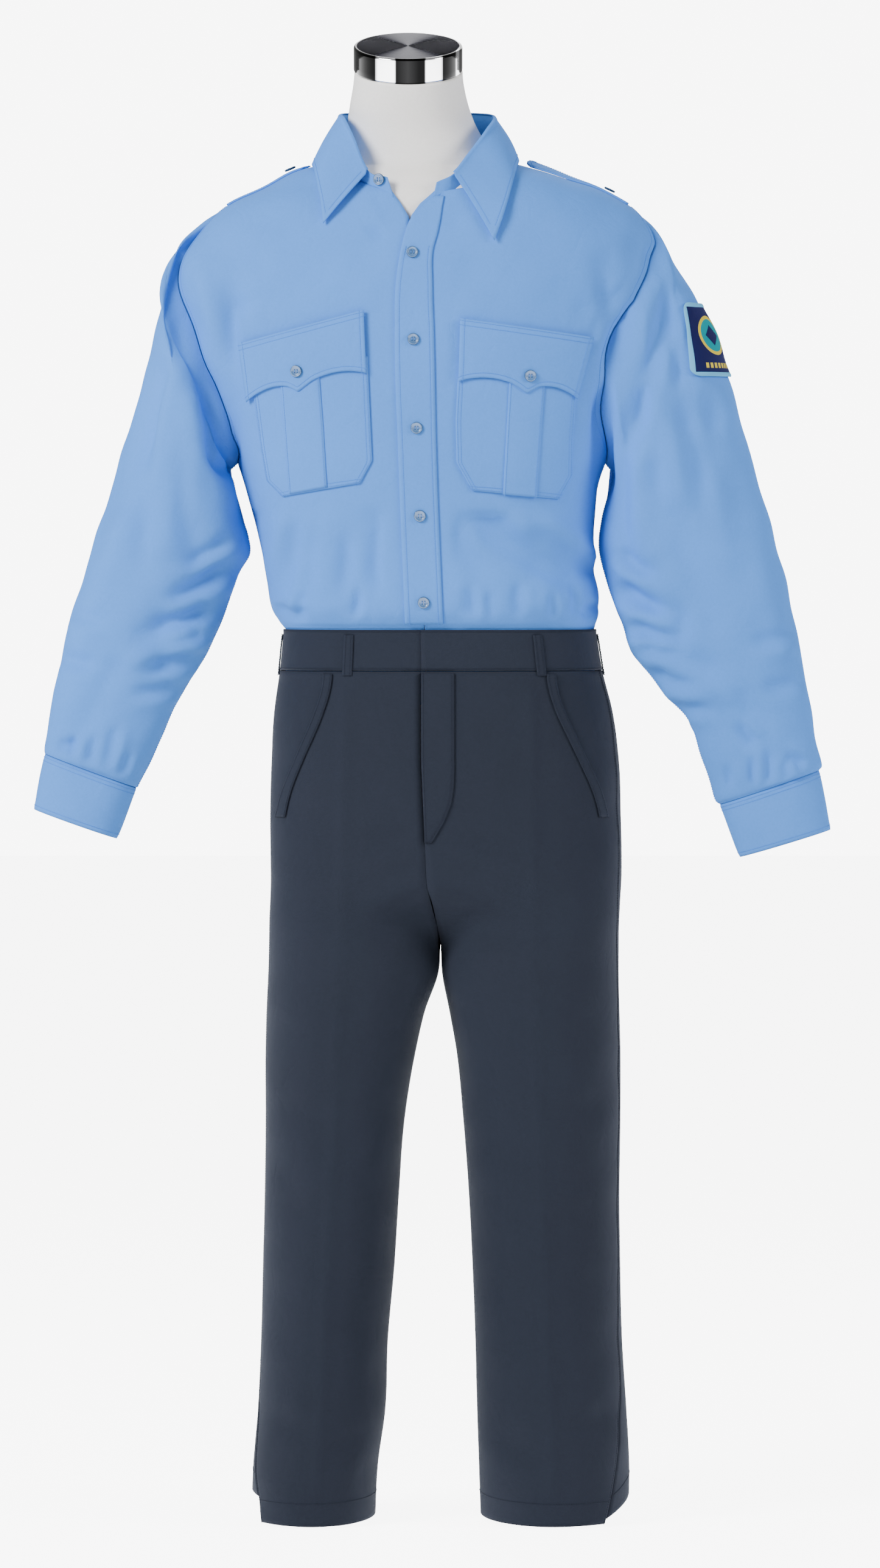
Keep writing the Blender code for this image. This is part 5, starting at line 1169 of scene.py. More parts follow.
def finish_look(tree, shader, colour, height, strength, distance):
    """Gives a material its colour and a fine relief."""
    tree.links.new(colour, shader.inputs["Base Color"])
    bump = add_node(tree, "ShaderNodeBump", {"Height": height, "Strength": strength, "Distance": distance})
    tree.links.new(bump.outputs[0], shader.inputs["Normal"])


def scaled(colour, factor):
    return tuple(min(channel * factor, 1.0) for channel in colour[:3])


def cloth_material(name, colour, threads, slant, weave_height, wrinkle_height, roughness, sheen):
    """Woven cloth: cloudy dye, mottled threads, painted shade in the weave's hollows, small wrinkles and the
    weave itself.
    """
    weave, uneven = shader_groups()
    material, tree, shader = new_material(name, Roughness=roughness, Sheen_Weight=sheen, Sheen_Roughness=0.45,
                                          Specular_IOR_Level=0.12)
    shader.inputs["Sheen Tint"].default_value = (*scaled(colour, 1.6), 1)
    surface = group_in(tree, uneven, Cloud_size=5.0, Wrinkle_size=26.0)
    threads_node = group_in(tree, weave, Threads_a_metre=threads, Slant=slant)
    mottled = calc(tree, "ADD", calc(tree, "MULTIPLY", surface.outputs[0], 0.7),
                   calc(tree, "MULTIPLY", surface.outputs[1], 0.3))
    cloudy = shades(tree, mottled, 0.3, 0.7, scaled(colour, 0.92), scaled(colour, 1.07))
    # Painted shade and highlight: darker where the weave lies low, lighter on its crowns.
    weave_painted_shade = add_node(tree, "ShaderNodeMapRange", {0: threads_node.outputs[0], 1: -1.0, 2: 1.0, 3: 0.93,
                                                         4: 1.04}).outputs[0]
    weave_shaded = add_node(tree, "ShaderNodeMix", {0: 1.0, 6: cloudy}, data_type="RGBA", blend_type="MULTIPLY")
    tree.links.new(weave_painted_shade, weave_shaded.inputs[7])
    tree.links.new(weave_shaded.outputs[2], shader.inputs["Base Color"])
    wrinkled = add_node(tree, "ShaderNodeBump", {"Height": surface.outputs[2], "Strength": 1.0,
                                                 "Distance": wrinkle_height})
    woven = add_node(tree, "ShaderNodeBump", {"Height": threads_node.outputs[0], "Strength": 0.5,
                                              "Distance": weave_height, "Normal": wrinkled.outputs[0]})
    tree.links.new(woven.outputs[0], shader.inputs["Normal"])
    return material


def shirt_material():
    look = bpy.context.scene.uniform_shirt
    return bpy.data.materials.get("shirt_poplin") or cloth_material(
        "shirt_poplin", look.colour, look.threads, 0.0, 0.00008, look.wrinkle_height, 0.82, 0.12)


def trouser_material():
    look = bpy.context.scene.uniform_trousers
    return bpy.data.materials.get("trouser_twill") or cloth_material(
        "trouser_twill", look.colour, look.threads, 1.0, 0.00012, look.wrinkle_height, 0.86, 0.25)


def jersey_material():
    look = bpy.context.scene.uniform_form
    return cloth_material("form_jersey", look.jersey, 900.0, 0.2, 0.0001, 0.0004, 0.9, 0.2)


def thread_material(name, colour):
    """Sewing thread with a faint twist."""
    material, tree, shader = new_material(name, Roughness=0.7, Specular_IOR_Level=0.1)
    place = add_node(tree, "ShaderNodeTexCoord").outputs["Object"]
    twist = add_node(tree, "ShaderNodeTexWave", {"Vector": place, "Scale": 900.0, "Distortion": 1.0})
    tree.links.new(shades(tree, twist.outputs[1], 0.0, 1.0, scaled(colour, 0.8), scaled(colour, 1.15)),
                   shader.inputs["Base Color"])
    return material


def pearl_material():
    """Button: pearly plastic with soft bands; its darker edge is painted shade, a separate darker material on
    the rim.
    """
    look = bpy.context.scene.uniform_trim
    _, uneven = shader_groups()
    material, tree, shader = new_material("pearl_button", Roughness=0.3, Coat_Weight=0.25, Coat_Roughness=0.1)
    surface = group_in(tree, uneven, Cloud_size=160.0, Wrinkle_size=300.0)
    colour = shades(tree, surface.outputs[0], 0.35, 0.65, scaled(look.button, 0.72), look.button[:3])
    finish_look(tree, shader, colour, surface.outputs[2], 0.3, 0.0001)
    return material


def badge_material():
    """Embroidered badge: raised pale border, dark field, a ring round a diamond, and small bars."""
    look = bpy.context.scene.uniform_trim
    material, tree, shader = new_material("badge_embroidery", Roughness=0.8, Specular_IOR_Level=0.05)
    place = add_node(tree, "ShaderNodeUVMap", uv_map="design").outputs[0]
    axes = add_node(tree, "ShaderNodeSeparateXYZ", {0: place})
    u, v = axes.outputs[0], axes.outputs[1]
    x = calc(tree, "MULTIPLY", calc(tree, "SUBTRACT", u, 0.5), BADGE_WIDTH)
    y = calc(tree, "MULTIPLY", calc(tree, "SUBTRACT", v, 0.56), BADGE_LENGTH)
    radius = calc(tree, "SQRT", calc(tree, "ADD", calc(tree, "MULTIPLY", x, x), calc(tree, "MULTIPLY", y, y)))
    diamond = calc(tree, "LESS_THAN", calc(tree, "ADD", calc(tree, "ABSOLUTE", x), calc(tree, "ABSOLUTE", y)),
                   11.0)
    ring = calc(tree, "LESS_THAN", calc(tree, "ABSOLUTE", calc(tree, "SUBTRACT", radius, 19.0)), 1.8)
    disc = calc(tree, "LESS_THAN", radius, 17.2)
    beside = calc(tree, "LESS_THAN", calc(tree, "ABSOLUTE", x), 22.0)
    band = calc(tree, "LESS_THAN", calc(tree, "ABSOLUTE", calc(tree, "SUBTRACT", v, 0.15)), 0.035)
    bars = calc(tree, "MULTIPLY", calc(tree, "MULTIPLY", band, beside),
                calc(tree, "GREATER_THAN", calc(tree, "SINE", calc(tree, "MULTIPLY", x, 1.1)), -0.4))
    edge_u = calc(tree, "MULTIPLY", calc(tree, "MINIMUM", u, calc(tree, "SUBTRACT", 1.0, u)), BADGE_WIDTH)
    edge_v = calc(tree, "MULTIPLY", calc(tree, "MINIMUM", v, calc(tree, "SUBTRACT", 1.0, v)), BADGE_LENGTH)
    border = calc(tree, "LESS_THAN", calc(tree, "MINIMUM", edge_u, edge_v), BADGE_BORDER)
    colour = add_node(tree, "ShaderNodeRGB").outputs[0]
    colour.default_value = (*look.badge_field[:3], 1)
    for mask, shade in ((disc, look.badge_disc), (diamond, look.badge_mark), (ring, look.badge_ring),
                        (bars, look.badge_ring), (border, look.badge_border)):
        mix = add_node(tree, "ShaderNodeMix", {0: mask, 6: colour}, data_type="RGBA")
        mix.inputs[7].default_value = (*shade[:3], 1)
        colour = mix.outputs[2]
    slanted = calc(tree, "ADD", calc(tree, "MULTIPLY", x, 5.0), calc(tree, "MULTIPLY", y, 9.0))
    finish_look(tree, shader, colour, calc(tree, "SINE", slanted), 0.6, 0.0003)
    return material


def cap_axes(tree):
    """Distances of a point of the cap from the middle of its top, along the cap's own axes."""
    place = add_node(tree, "ShaderNodeTexCoord").outputs["Object"]
    centred = add_node(tree, "ShaderNodeMapping", {"Vector": place}, vector_type="TEXTURE")
    centred.inputs["Location"].default_value = tuple(value * MM for value in CAP_CENTRE)
    centred.inputs["Rotation"].default_value = (math.radians(CAP_TILT), 0, 0)
    return add_node(tree, "ShaderNodeSeparateXYZ", {0: centred.outputs[0]}).outputs


def chrome_side_painted_reflection_material():
    """Polished chrome whose colour has upright dark and light bands round the cap: a painted reflection."""
    look = bpy.context.scene.uniform_form
    material, tree, shader = new_material("chrome_side_painted_reflection", Metallic=1.0, Roughness=0.1)
    across = calc(tree, "MULTIPLY", cap_axes(tree)[0], 0.5 / (CAP_RADIUS * MM))
    # Painted reflection: each band's brightness scales the chrome colour.
    painted_reflection_ramp = add_node(tree, "ShaderNodeValToRGB", {0: calc(tree, "ADD", across, 0.5)})
    elements = painted_reflection_ramp.color_ramp.elements
    for number, (place, shade) in enumerate(CAP_PAINTED_REFLECTION_BANDS):
        element = elements[number] if number < 2 else elements.new(place)
        element.position, element.color = place, (*scaled(look.chrome, shade), 1)
    tree.links.new(painted_reflection_ramp.outputs[0], shader.inputs["Base Color"])
    return material


def chrome_top_painted_reflection_material():
    """Chrome brushed round the middle of the cap; its colour is a painted reflection, dark with light wedges,
    mixed with the grain.
    """
    look = bpy.context.scene.uniform_form
    material, tree, shader = new_material("chrome_top_painted_reflection", Metallic=1.0, Specular_Tint=(0.3, 0.3, 0.31, 1.0))
    axes = cap_axes(tree)
    angle = calc(tree, "ARCTAN2", axes[1], axes[0])
    radius = calc(tree, "SQRT", calc(tree, "ADD", calc(tree, "MULTIPLY", axes[0], axes[0]),
                                     calc(tree, "MULTIPLY", axes[1], axes[1])))
    # Painted reflection: two light wedges across the top, towards the front and the back.
    painted_reflection_wedge = calc(tree, "COSINE", calc(tree, "MULTIPLY_ADD", angle, 2.0, math.pi))
    spread = add_node(tree, "ShaderNodeCombineXYZ", {0: calc(tree, "MULTIPLY", radius, 1600.0),
                                                     1: calc(tree, "MULTIPLY", angle, 0.6)}).outputs[0]
    grain = add_node(tree, "ShaderNodeTexNoise", {"Vector": spread, "Scale": 1.0, "Detail": 3.0}).outputs[0]
    mixed = calc(tree, "ADD", calc(tree, "MULTIPLY", painted_reflection_wedge, 0.6), calc(tree, "MULTIPLY", grain, 0.4))
    colour = shades(tree, mixed, 0.2, 0.8, scaled(look.chrome, 0.008), scaled(look.chrome, 0.3))
    finish_look(tree, shader, colour, grain, 0.4, 0.00005)
    rough = add_node(tree, "ShaderNodeMapRange", {0: grain, 3: 0.2, 4: 0.34}).outputs[0]
    tree.links.new(rough, shader.inputs["Roughness"])
    return material


def steel_material():
    look = bpy.context.scene.uniform_form
    _, uneven = shader_groups()
    material, tree, shader = new_material("stand_steel", Metallic=1.0, Roughness=0.35)
    surface = group_in(tree, uneven, Cloud_size=30.0, Wrinkle_size=120.0)
    colour = shades(tree, surface.outputs[0], 0.3, 0.7, scaled(look.steel, 0.8), look.steel[:3])
    finish_look(tree, shader, colour, surface.outputs[1], 0.3, 0.00005)
    return material


def floor_material():
    look = bpy.context.scene.uniform_stage
    _, uneven = shader_groups()
    material, tree, shader = new_material("pale_floor", Roughness=0.9)
    surface = group_in(tree, uneven, Cloud_size=2.0, Wrinkle_size=40.0)
    tree.links.new(shades(tree, surface.outputs[0], 0.3, 0.7, scaled(look.floor, 0.99), look.floor[:3]),
                   shader.inputs["Base Color"])
    rays = add_node(tree, "ShaderNodeLightPath")
    seen = calc(tree, "ADD", rays.outputs["Is Camera Ray"], rays.outputs["Is Glossy Ray"])
    shader.inputs["Emission Color"].default_value = (1.0, 1.0, 1.0, 1.0)
    tree.links.new(calc(tree, "MULTIPLY", seen, look.floor_glow), shader.inputs["Emission Strength"])
    return material


def stitch_tree():
    """Stitches along lines: an even row of short threads, each turned along its line."""
    tree = bpy.data.node_groups.new("sewn stitches", "GeometryNodeTree")
    sizes = (("Pitch", "NodeSocketFloat", 0.0026), ("Stitch", "NodeSocketFloat", 0.0018),
             ("Thickness", "NodeSocketFloat", 0.00028), ("Thread", "NodeSocketMaterial", None))
    tree.interface.new_socket(name="Lines", in_out="INPUT", socket_type="NodeSocketGeometry")
    for label, kind, default in sizes:
        socket = tree.interface.new_socket(name=label, in_out="INPUT", socket_type=kind)
        if default is not None:
            socket.default_value = default
    tree.interface.new_socket(name="Stitches", in_out="OUTPUT", socket_type="NodeSocketGeometry")
    given, result = tree.nodes.new("NodeGroupInput"), tree.nodes.new("NodeGroupOutput")
    lines = add_node(tree, "GeometryNodeMeshToCurve", {0: given.outputs["Lines"]})
    spaced = add_node(tree, "GeometryNodeResampleCurve", {
        "Curve": lines.outputs[0], "Length": given.outputs["Pitch"]}, mode="LENGTH")
    thread = add_node(tree, "GeometryNodeMeshCylinder", {"Vertices": 5, "Radius": given.outputs["Thickness"],
                                                         "Depth": given.outputs["Stitch"]})
    direction = add_node(tree, "GeometryNodeInputTangent")
    turned = add_node(tree, "FunctionNodeAlignRotationToVector", {"Vector": direction.outputs[0]}, axis="Z")
    placed = add_node(tree, "GeometryNodeInstanceOnPoints", {"Points": spaced.outputs[0],
                                                             "Instance": thread.outputs[0],
                                                             "Rotation": turned.outputs[0]})
    real = add_node(tree, "GeometryNodeRealizeInstances", {0: placed.outputs[0]})
    finished = add_node(tree, "GeometryNodeSetMaterial", {"Geometry": real.outputs[0],
                                                          "Material": given.outputs["Thread"]})
    tree.links.new(finished.outputs[0], result.inputs[0])
    return tree


def sewn(name, lines, thread, slot):
    """A plain mesh of stitches along the given lines."""
    look = bpy.context.scene.uniform_trim
    points = np.concatenate(lines) * MM
    edges, start = [], 0
    for line in lines:
        edges += [(start + k, start + k + 1) for k in range(len(line) - 1)]
        start += len(line)
    mesh = bpy.data.meshes.new(f"{name}_lines")
    mesh.from_pydata(points.tolist(), edges, [])
    guide = add_object(f"{name}_lines", mesh)
    tree = bpy.data.node_groups.get("sewn stitches") or stitch_tree()
    modifier = guide.modifiers.new("stitches", "NODES")
    modifier.node_group = tree
    values = {"Pitch": look.stitch_pitch, "Stitch": look.stitch_length, "Thickness": look.thread_radius,
              "Thread": thread}
    for item in tree.interface.items_tree:
        if item.item_type == "SOCKET" and item.in_out == "INPUT" and item.name in values:
            modifier[item.identifier] = values[item.name]
    bpy.context.view_layer.update()
    evaluated = guide.evaluated_get(bpy.context.evaluated_depsgraph_get())
    made_mesh = bpy.data.meshes.new_from_object(evaluated)
    made_mesh.name = name
    bpy.data.objects.remove(guide)
    if not len(made_mesh.polygons):
        raise RuntimeError(f"{name}: no stitches were made")
    claim(add_object(name, made_mesh), slot)


def length_property(label, text, default):
    return bpy.props.FloatProperty(name=label, description=text, default=default, min=0.0, unit="LENGTH",
                                   precision=5)


def colour_property(label, text, default):
    return bpy.props.FloatVectorProperty(name=label, description=text, default=default, size=3, min=0.0,
                                         max=1.0, subtype="COLOR")


def number_property(label, text, default):
    return bpy.props.FloatProperty(name=label, description=text, default=default, min=0.0)


class UniformShirt(bpy.types.PropertyGroup):
    """Sizes and colours of the shirt's cloth."""

    colour: colour_property("Shirt colour", "Colour of the shirt's poplin", (0.085, 0.285, 0.80))
    threads: number_property("Threads", "Threads a metre of the shirt's weave", 2400.0)
    crease_strength: number_property("Creases", "Height of the shirt's creases, 1 as in the tables", 1.7)
    unevenness: length_property("Unevenness", "Height of the slow waves in the shirt", 0.0006)
    wrinkle_height: length_property("Small wrinkles", "Height of the smallest wrinkles", 0.0011)
    thread_colour: colour_property("Shirt thread", "Colour of the shirt's sewing thread", (0.07, 0.25, 0.74))


class UniformTrousers(bpy.types.PropertyGroup):
    """Sizes and colours of the trousers' cloth."""

    colour: colour_property("Trouser colour", "Colour of the trousers' twill", (0.0155, 0.0195, 0.031))
    threads: number_property("Threads", "Threads a metre of the trousers' weave", 1800.0)
    crease_strength: number_property("Creases", "Height of the trousers' creases, 1 as in the tables", 1.0)
    unevenness: length_property("Unevenness", "Height of the slow waves in the trousers", 0.0007)
    wrinkle_height: length_property("Small wrinkles", "Height of the smallest wrinkles", 0.0008)
    thread_colour: colour_property("Trouser thread", "Colour of the trousers' thread", (0.012, 0.015, 0.026))


class UniformTrim(bpy.types.PropertyGroup):
    """Sizes and colours of the buttons, the badge and the stitches."""

    button: colour_property("Buttons", "Colour of the pearly buttons", (0.07, 0.17, 0.36))
    badge_border: colour_property("Badge border", "Colour of the badge's raised edge", (0.16, 0.52, 0.84))
    badge_field: colour_property("Badge field", "Colour of the badge's ground", (0.012, 0.014, 0.075))
    badge_disc: colour_property("Badge disc", "Colour inside the badge's ring", (0.0, 0.30, 0.36))
    badge_ring: colour_property("Badge ring", "Colour of the badge's ring and bars", (0.80, 0.62, 0.05))
    badge_mark: colour_property("Badge diamond", "Colour of the badge's diamond", (0.010, 0.012, 0.07))
    stitch_pitch: length_property("Stitch pitch", "Distance from stitch to stitch", 0.0027)
    stitch_length: length_property("Stitch length", "Length of one stitch", 0.0020)
    thread_radius: length_property("Thread radius", "Half the thickness of the sewing thread", 0.00026)


class UniformForm(bpy.types.PropertyGroup):
    """Colours of the dress form."""

    jersey: colour_property("Jersey", "Colour of the form's jersey cover", (0.96, 0.925, 0.895))
    chrome: colour_property("Chrome", "Colour of the neck cap", (0.78, 0.78, 0.80))
    steel: colour_property("Steel", "Colour of the legs and foot plates", (0.45, 0.45, 0.47))


class UniformStage(bpy.types.PropertyGroup):
    """Camera, lights and floor."""

    camera_distance: length_property("Camera distance", "From the middle of the uniform", 9.0)
    camera_height: length_property("Camera height", "Above the floor", 1.05)
    aim_height: length_property("Aim height", "Height that the camera looks at", 0.802)
    aim_side: bpy.props.FloatProperty(name="Aim side", description="Sideways place of the camera",
                                      default=0.0086, unit="LENGTH", precision=4)
    view_height: length_property("View height", "Height seen at the uniform", 1.705)
    key_power: bpy.props.FloatProperty(name="Key light", description="Power of the large light",
                                       default=290.0, unit="POWER")
    fill_power: bpy.props.FloatProperty(name="Fill light", description="Power of the second light",
                                        default=95.0, unit="POWER")
    back_power: bpy.props.FloatProperty(name="Back light", description="Power of the light from behind",
                                        default=40.0, unit="POWER")
    world_strength: number_property("Surroundings", "Brightness of the surroundings' light", 0.36)
    backdrop_strength: number_property("Backdrop", "Brightness of the surroundings as seen", 8.0)
    floor_glow: number_property("Floor glow", "Brightness added to the floor as seen", 7.0)
    floor: colour_property("Floor", "Colour of the floor", (0.88, 0.88, 0.88))


class UNIFORM_OT_shirt_body(bpy.types.Operator):
    """Fronts, yoke and back of the shirt, with their seams"""

    bl_idname = "uniform.shirt_body"
    bl_label = "Shirt body"

    def execute(self, context):
        for side in ("left", "right"):
            outer, inner = panel_walls(*front_grid(side))
            arm = (ARM_SPAN.start / (len(outer) - 1), ARM_SPAN.stop / (len(outer) - 1))
            dress("shirt", f"shirt_front_{side}", outer, inner,
                  rows=[("first_column", 7.0, arm), ("first_row", 5.0, (0.02, 0.9))])
        rows, angles = back_grid()
        yoke_rows, back_rows = rows[:YOKE_ROW + 1].copy(), rows[YOKE_ROW:].copy()
        yoke_rows[-1] -= 0.005
        back_rows[0] += 0.005
        outer, inner = panel_walls(yoke_rows, angles[:YOKE_ROW + 1])
        arm = (ARM_SPAN.start / (len(outer) - 1), 1.0)
        dress("shirt", "shirt_yoke", outer, inner,
              rows=[("last_row", 2.0), ("last_row", 6.0), ("first_column", 7.0, arm),
                    ("last_column", 7.0, arm)])
        outer, inner = panel_walls(back_rows, angles[YOKE_ROW:])
        arm = (0.0, (ARM_SPAN.stop - YOKE_ROW) / (len(outer) - 1))
        dress("shirt", "shirt_back", outer, inner,
              rows=[("first_column", 7.0, arm), ("last_column", 7.0, arm)])
        return {"FINISHED"}


class UNIFORM_OT_sleeves(bpy.types.Operator):
    """Both sleeves and their cuffs"""

    bl_idname = "uniform.sleeves"
    bl_label = "Sleeves and cuffs"

    def execute(self, context):
        for side in ("left", "right"):
            outer = sleeve_outer(side)
            inner = outer - outward_normals(outer) * SHIRT_WALL
            dress("shirt", f"sleeve_{side}", outer, inner,
                  [("first_row", 2.5)], closed=True)
            lowest = len(outer[0]) // 2
            for column in (lowest - 2, lowest):
                seam = outer[:, column] + outward_normals(outer)[:, column] * STITCH_LIFT
                STITCH_LINES["shirt"].append(seam[3:-3])
            rings = smooth_curve(numbered(CUFF[side]))
            places = np.linspace(0, len(CUFF[side]) - 1, CUFF_ROWS)
            count = CUFF_POINTS * ARM_STEPS
            cuff = np.array([tube_ring(rings(place), count) for place in places])
            out = outward_normals(cuff)
            share = np.linspace(0, 1, CUFF_ROWS)[:, None]
            edge = np.minimum(share, 1 - share)
            turn = np.linspace(0, 2 * math.pi, count, endpoint=False)[None, :]
            soft = 0.35 * np.sin(3 * turn + 4 * share) + 0.2 * np.sin(7 * turn - 3 * share)
            rolled = -CUFF_EDGE_ROLL * (1 - smoothstep(edge / 0.06))
            cuff = cuff + out * (soft * smoothstep(edge / 0.2) + rolled)[..., None]
            inner = cuff - outward_normals(cuff) * CUFF_WALL
            dress("shirt", f"cuff_{side}", cuff, inner,
                  [("first_row", 3.0), ("first_row", 7.0), ("last_row", 5.0)], closed=True)
        return {"FINISHED"}


def collar_lines(at):
    """The neck's seam, the top of the stand, and the direction outwards at places along the collar."""
    points = smooth_curve(numbered(COLLAR_STAND))(at)
    seam, top = points[:, :3], points[:, 3:]
    out = unit(np.cross(top - seam, np.gradient(seam, axis=0)))
    return seam, top, out * np.sign(out[len(at) // 2, 1])


class UNIFORM_OT_collar(bpy.types.Operator):
    """Collar stand and turned-down collar with its points"""

    bl_idname = "uniform.collar"
    bl_label = "Collar"

    def execute(self, context):
        seam, top, outward_to = collar_lines(np.linspace(0, len(COLLAR_STAND) - 1, STAND_GRID[1]))
        up = unit(top - seam)
        along = unit(np.gradient(top, axis=0))
        across = up - (up * along).sum(axis=-1, keepdims=True) * along
        slant = np.maximum(np.linalg.norm(across, axis=-1, keepdims=True), 0.3)
        low, high = seam + up * STAND_START, top - up * (COLLAR_WALL + 3 * SEAM_GAP) / slant
        outer = np.array([lerp(low, high, share) for share in np.linspace(0, 1, STAND_GRID[0])])
        inner = outer - outward_to[None] * COLLAR_WALL
        dress("shirt", "collar_stand", outer, inner)

        edge_at = np.linspace(0, len(COLLAR_EDGE) - 1, FALL_GRID[1])
        edge = smooth_curve(numbered(COLLAR_EDGE))(edge_at)
        seam, top, outward_to = collar_lines(edge_at + 1)
        roll_at = np.linspace(0, len(COLLAR_ROLL) - 1, ROLL_ROWS)
        roll = smooth_curve(numbered(np.array(COLLAR_ROLL)))(roll_at)
        rows = [top + outward_to * out + np.array([0, 0, rise]) for out, rise in roll]
        turned = rows[-1]
        wave = np.sin(edge_at * 1.9)[:, None] * COLLAR_WAVE
        for share in np.linspace(0, 1, FALL_GRID[0])[1:]:
            bulge = (COLLAR_BULGE + wave) * math.sin(math.pi * share)
            rows.append(lerp(turned, edge, share) + outward_to * bulge)
        outer = np.array(rows)
        normals = grid_normals(outer)
        normals = normals * np.sign((normals[-2] * outward_to).sum(axis=-1).mean())
        inner = outer - normals * COLLAR_WALL
        dress("shirt", "collar_fall", outer, inner,
              [("last_row", 6.0, (0.03, 0.97)), ("first_column", 6.0, (0.3, 0.86)),
               ("last_column", 6.0, (0.3, 0.86))])
        return {"FINISHED"}


def front_patch(node, rows, grid, bottom, top, stitches, bend=None):
    """A piece on the shirt's front from rows of left and right ends, between two lifts."""
    table, down_count = numbered(rows), grid[0]
    down = np.linspace(0, len(rows) - 1, down_count)
    ends = np.array([[np.interp(d, table[:, 0], table[:, k]) for k in range(1, 5)] for d in down])
    share = np.linspace(0, 1, grid[1])[None, :]
    x = lerp(ends[:, 0:1], ends[:, 2:3], share)
    z = lerp(ends[:, 1:2], ends[:, 3:4], share)
    if bend is not None:
        z = z + bend(share) * (np.arange(down_count) / (down_count - 1))[:, None] ** 2
    puff = PATCH_PUFF * np.sin(math.pi * share) * np.sin(math.pi * np.linspace(0, 1, down_count))[:, None]
    outer, inner = on_front(x, z, top + puff), on_front(x, z, bottom + puff)
    dress("shirt", node, outer, inner, stitches)


class UNIFORM_OT_front_pieces(bpy.types.Operator):
    """Placket, chest pockets with their pleats, and pocket flaps"""

    bl_idname = "uniform.front_pieces"
    bl_label = "Placket and pockets"

    def execute(self, context):
        heights = np.linspace(PLACKET[0, 0], PLACKET[-1, 0], PLACKET_GRID[0])
        edges = smooth_curve(PLACKET)(heights)
        across = np.linspace(0, 1, PLACKET_GRID[1])[None, :]
        x = lerp(edges[:, 0:1], edges[:, 1:2], across)
        z = np.repeat(heights[:, None], PLACKET_GRID[1], axis=1)
        top = PLACKET_LIFT + SHIRT_WALL
        outer, inner = on_front(x, z, top), on_front(x, z, PLACKET_LIFT)
        dress("shirt", "shirt_placket", outer, inner,
              [("first_column", 5.0, (0.12, 1.0)), ("last_column", 5.0, (0.12, 1.0))])
        body_top = POCKET_LIFT + SHIRT_WALL
        pleat_top = body_top + SEAM_GAP + SHIRT_WALL
        flap_low = pleat_top + SEAM_GAP
        for side in ("left", "right"):
            sewn_edges = [("first_column", 2.0), ("last_column", 2.0), ("last_row", 2.0),
                          ("first_column", 5.5), ("last_column", 5.5), ("last_row", 5.5)]
            front_patch(f"pocket_{side}", POCKET_BODY[side], POCKET_GRID, POCKET_LIFT, body_top, sewn_edges)
            front_patch(f"pocket_pleat_{side}", POCKET_PLEAT[side], PLEAT_GRID, body_top + SEAM_GAP,
                        pleat_top, sewn_edges[:2])
            sewn_edges = [("first_row", 2.0), ("first_row", 7.0), ("last_row", 5.0), ("first_column", 5.0),
                          ("last_column", 5.0)]
            front_patch(f"pocket_flap_{side}", POCKET_FLAP[side], FLAP_GRID, flap_low,
                        flap_low + COLLAR_WALL, sewn_edges, flap_edge(FLAP_POINT[side]))
        return {"FINISHED"}


class UNIFORM_OT_epaulettes(bpy.types.Operator):
    """Shoulder straps"""

    bl_idname = "uniform.epaulettes"
    bl_label = "Epaulettes"

    def execute(self, context):
        for side in ("left", "right"):
            first, last, lift_neck, lift_arm = EPAULETTE[side]
            along = np.linspace(0, 1, STRAP_GRID[0])[:, None]
            across = np.linspace(-1, 1, STRAP_GRID[1])[None, :]
            narrow = lerp(0.62, 1.0, smoothstep(along / 0.14))
            rows = lerp(first, last, along) + across**2 * 0.12 * (1 - smoothstep(along / 0.12))
            _, _, _, front, back, power = np.moveaxis(trunk_sections(rows), -1, 0)
            y = across * EPAULETTE_HALF_WIDTH * narrow
            depth = np.where(y < 0, -front, back)
            turn = np.degrees(np.arcsin((np.abs(y) / depth) ** (power / 2))) * np.sign(y)
            angles = 180 - turn if side == "left" else turn
            lift = lerp(lift_neck, lift_arm, smoothstep(along * 1.2))
            lift = lift * lerp(STRAP_FRONT_LIFT, 1.0, (across + 1) / 2)
            outer = trunk_point(rows, angles, lift + EPAULETTE_WALL)
            inner = trunk_point(rows, angles, lift)
            dress("shirt", f"epaulette_{side}", outer, inner,
                  [("first_column", 5.0), ("last_column", 5.0), ("first_row", 5.0)])
        return {"FINISHED"}


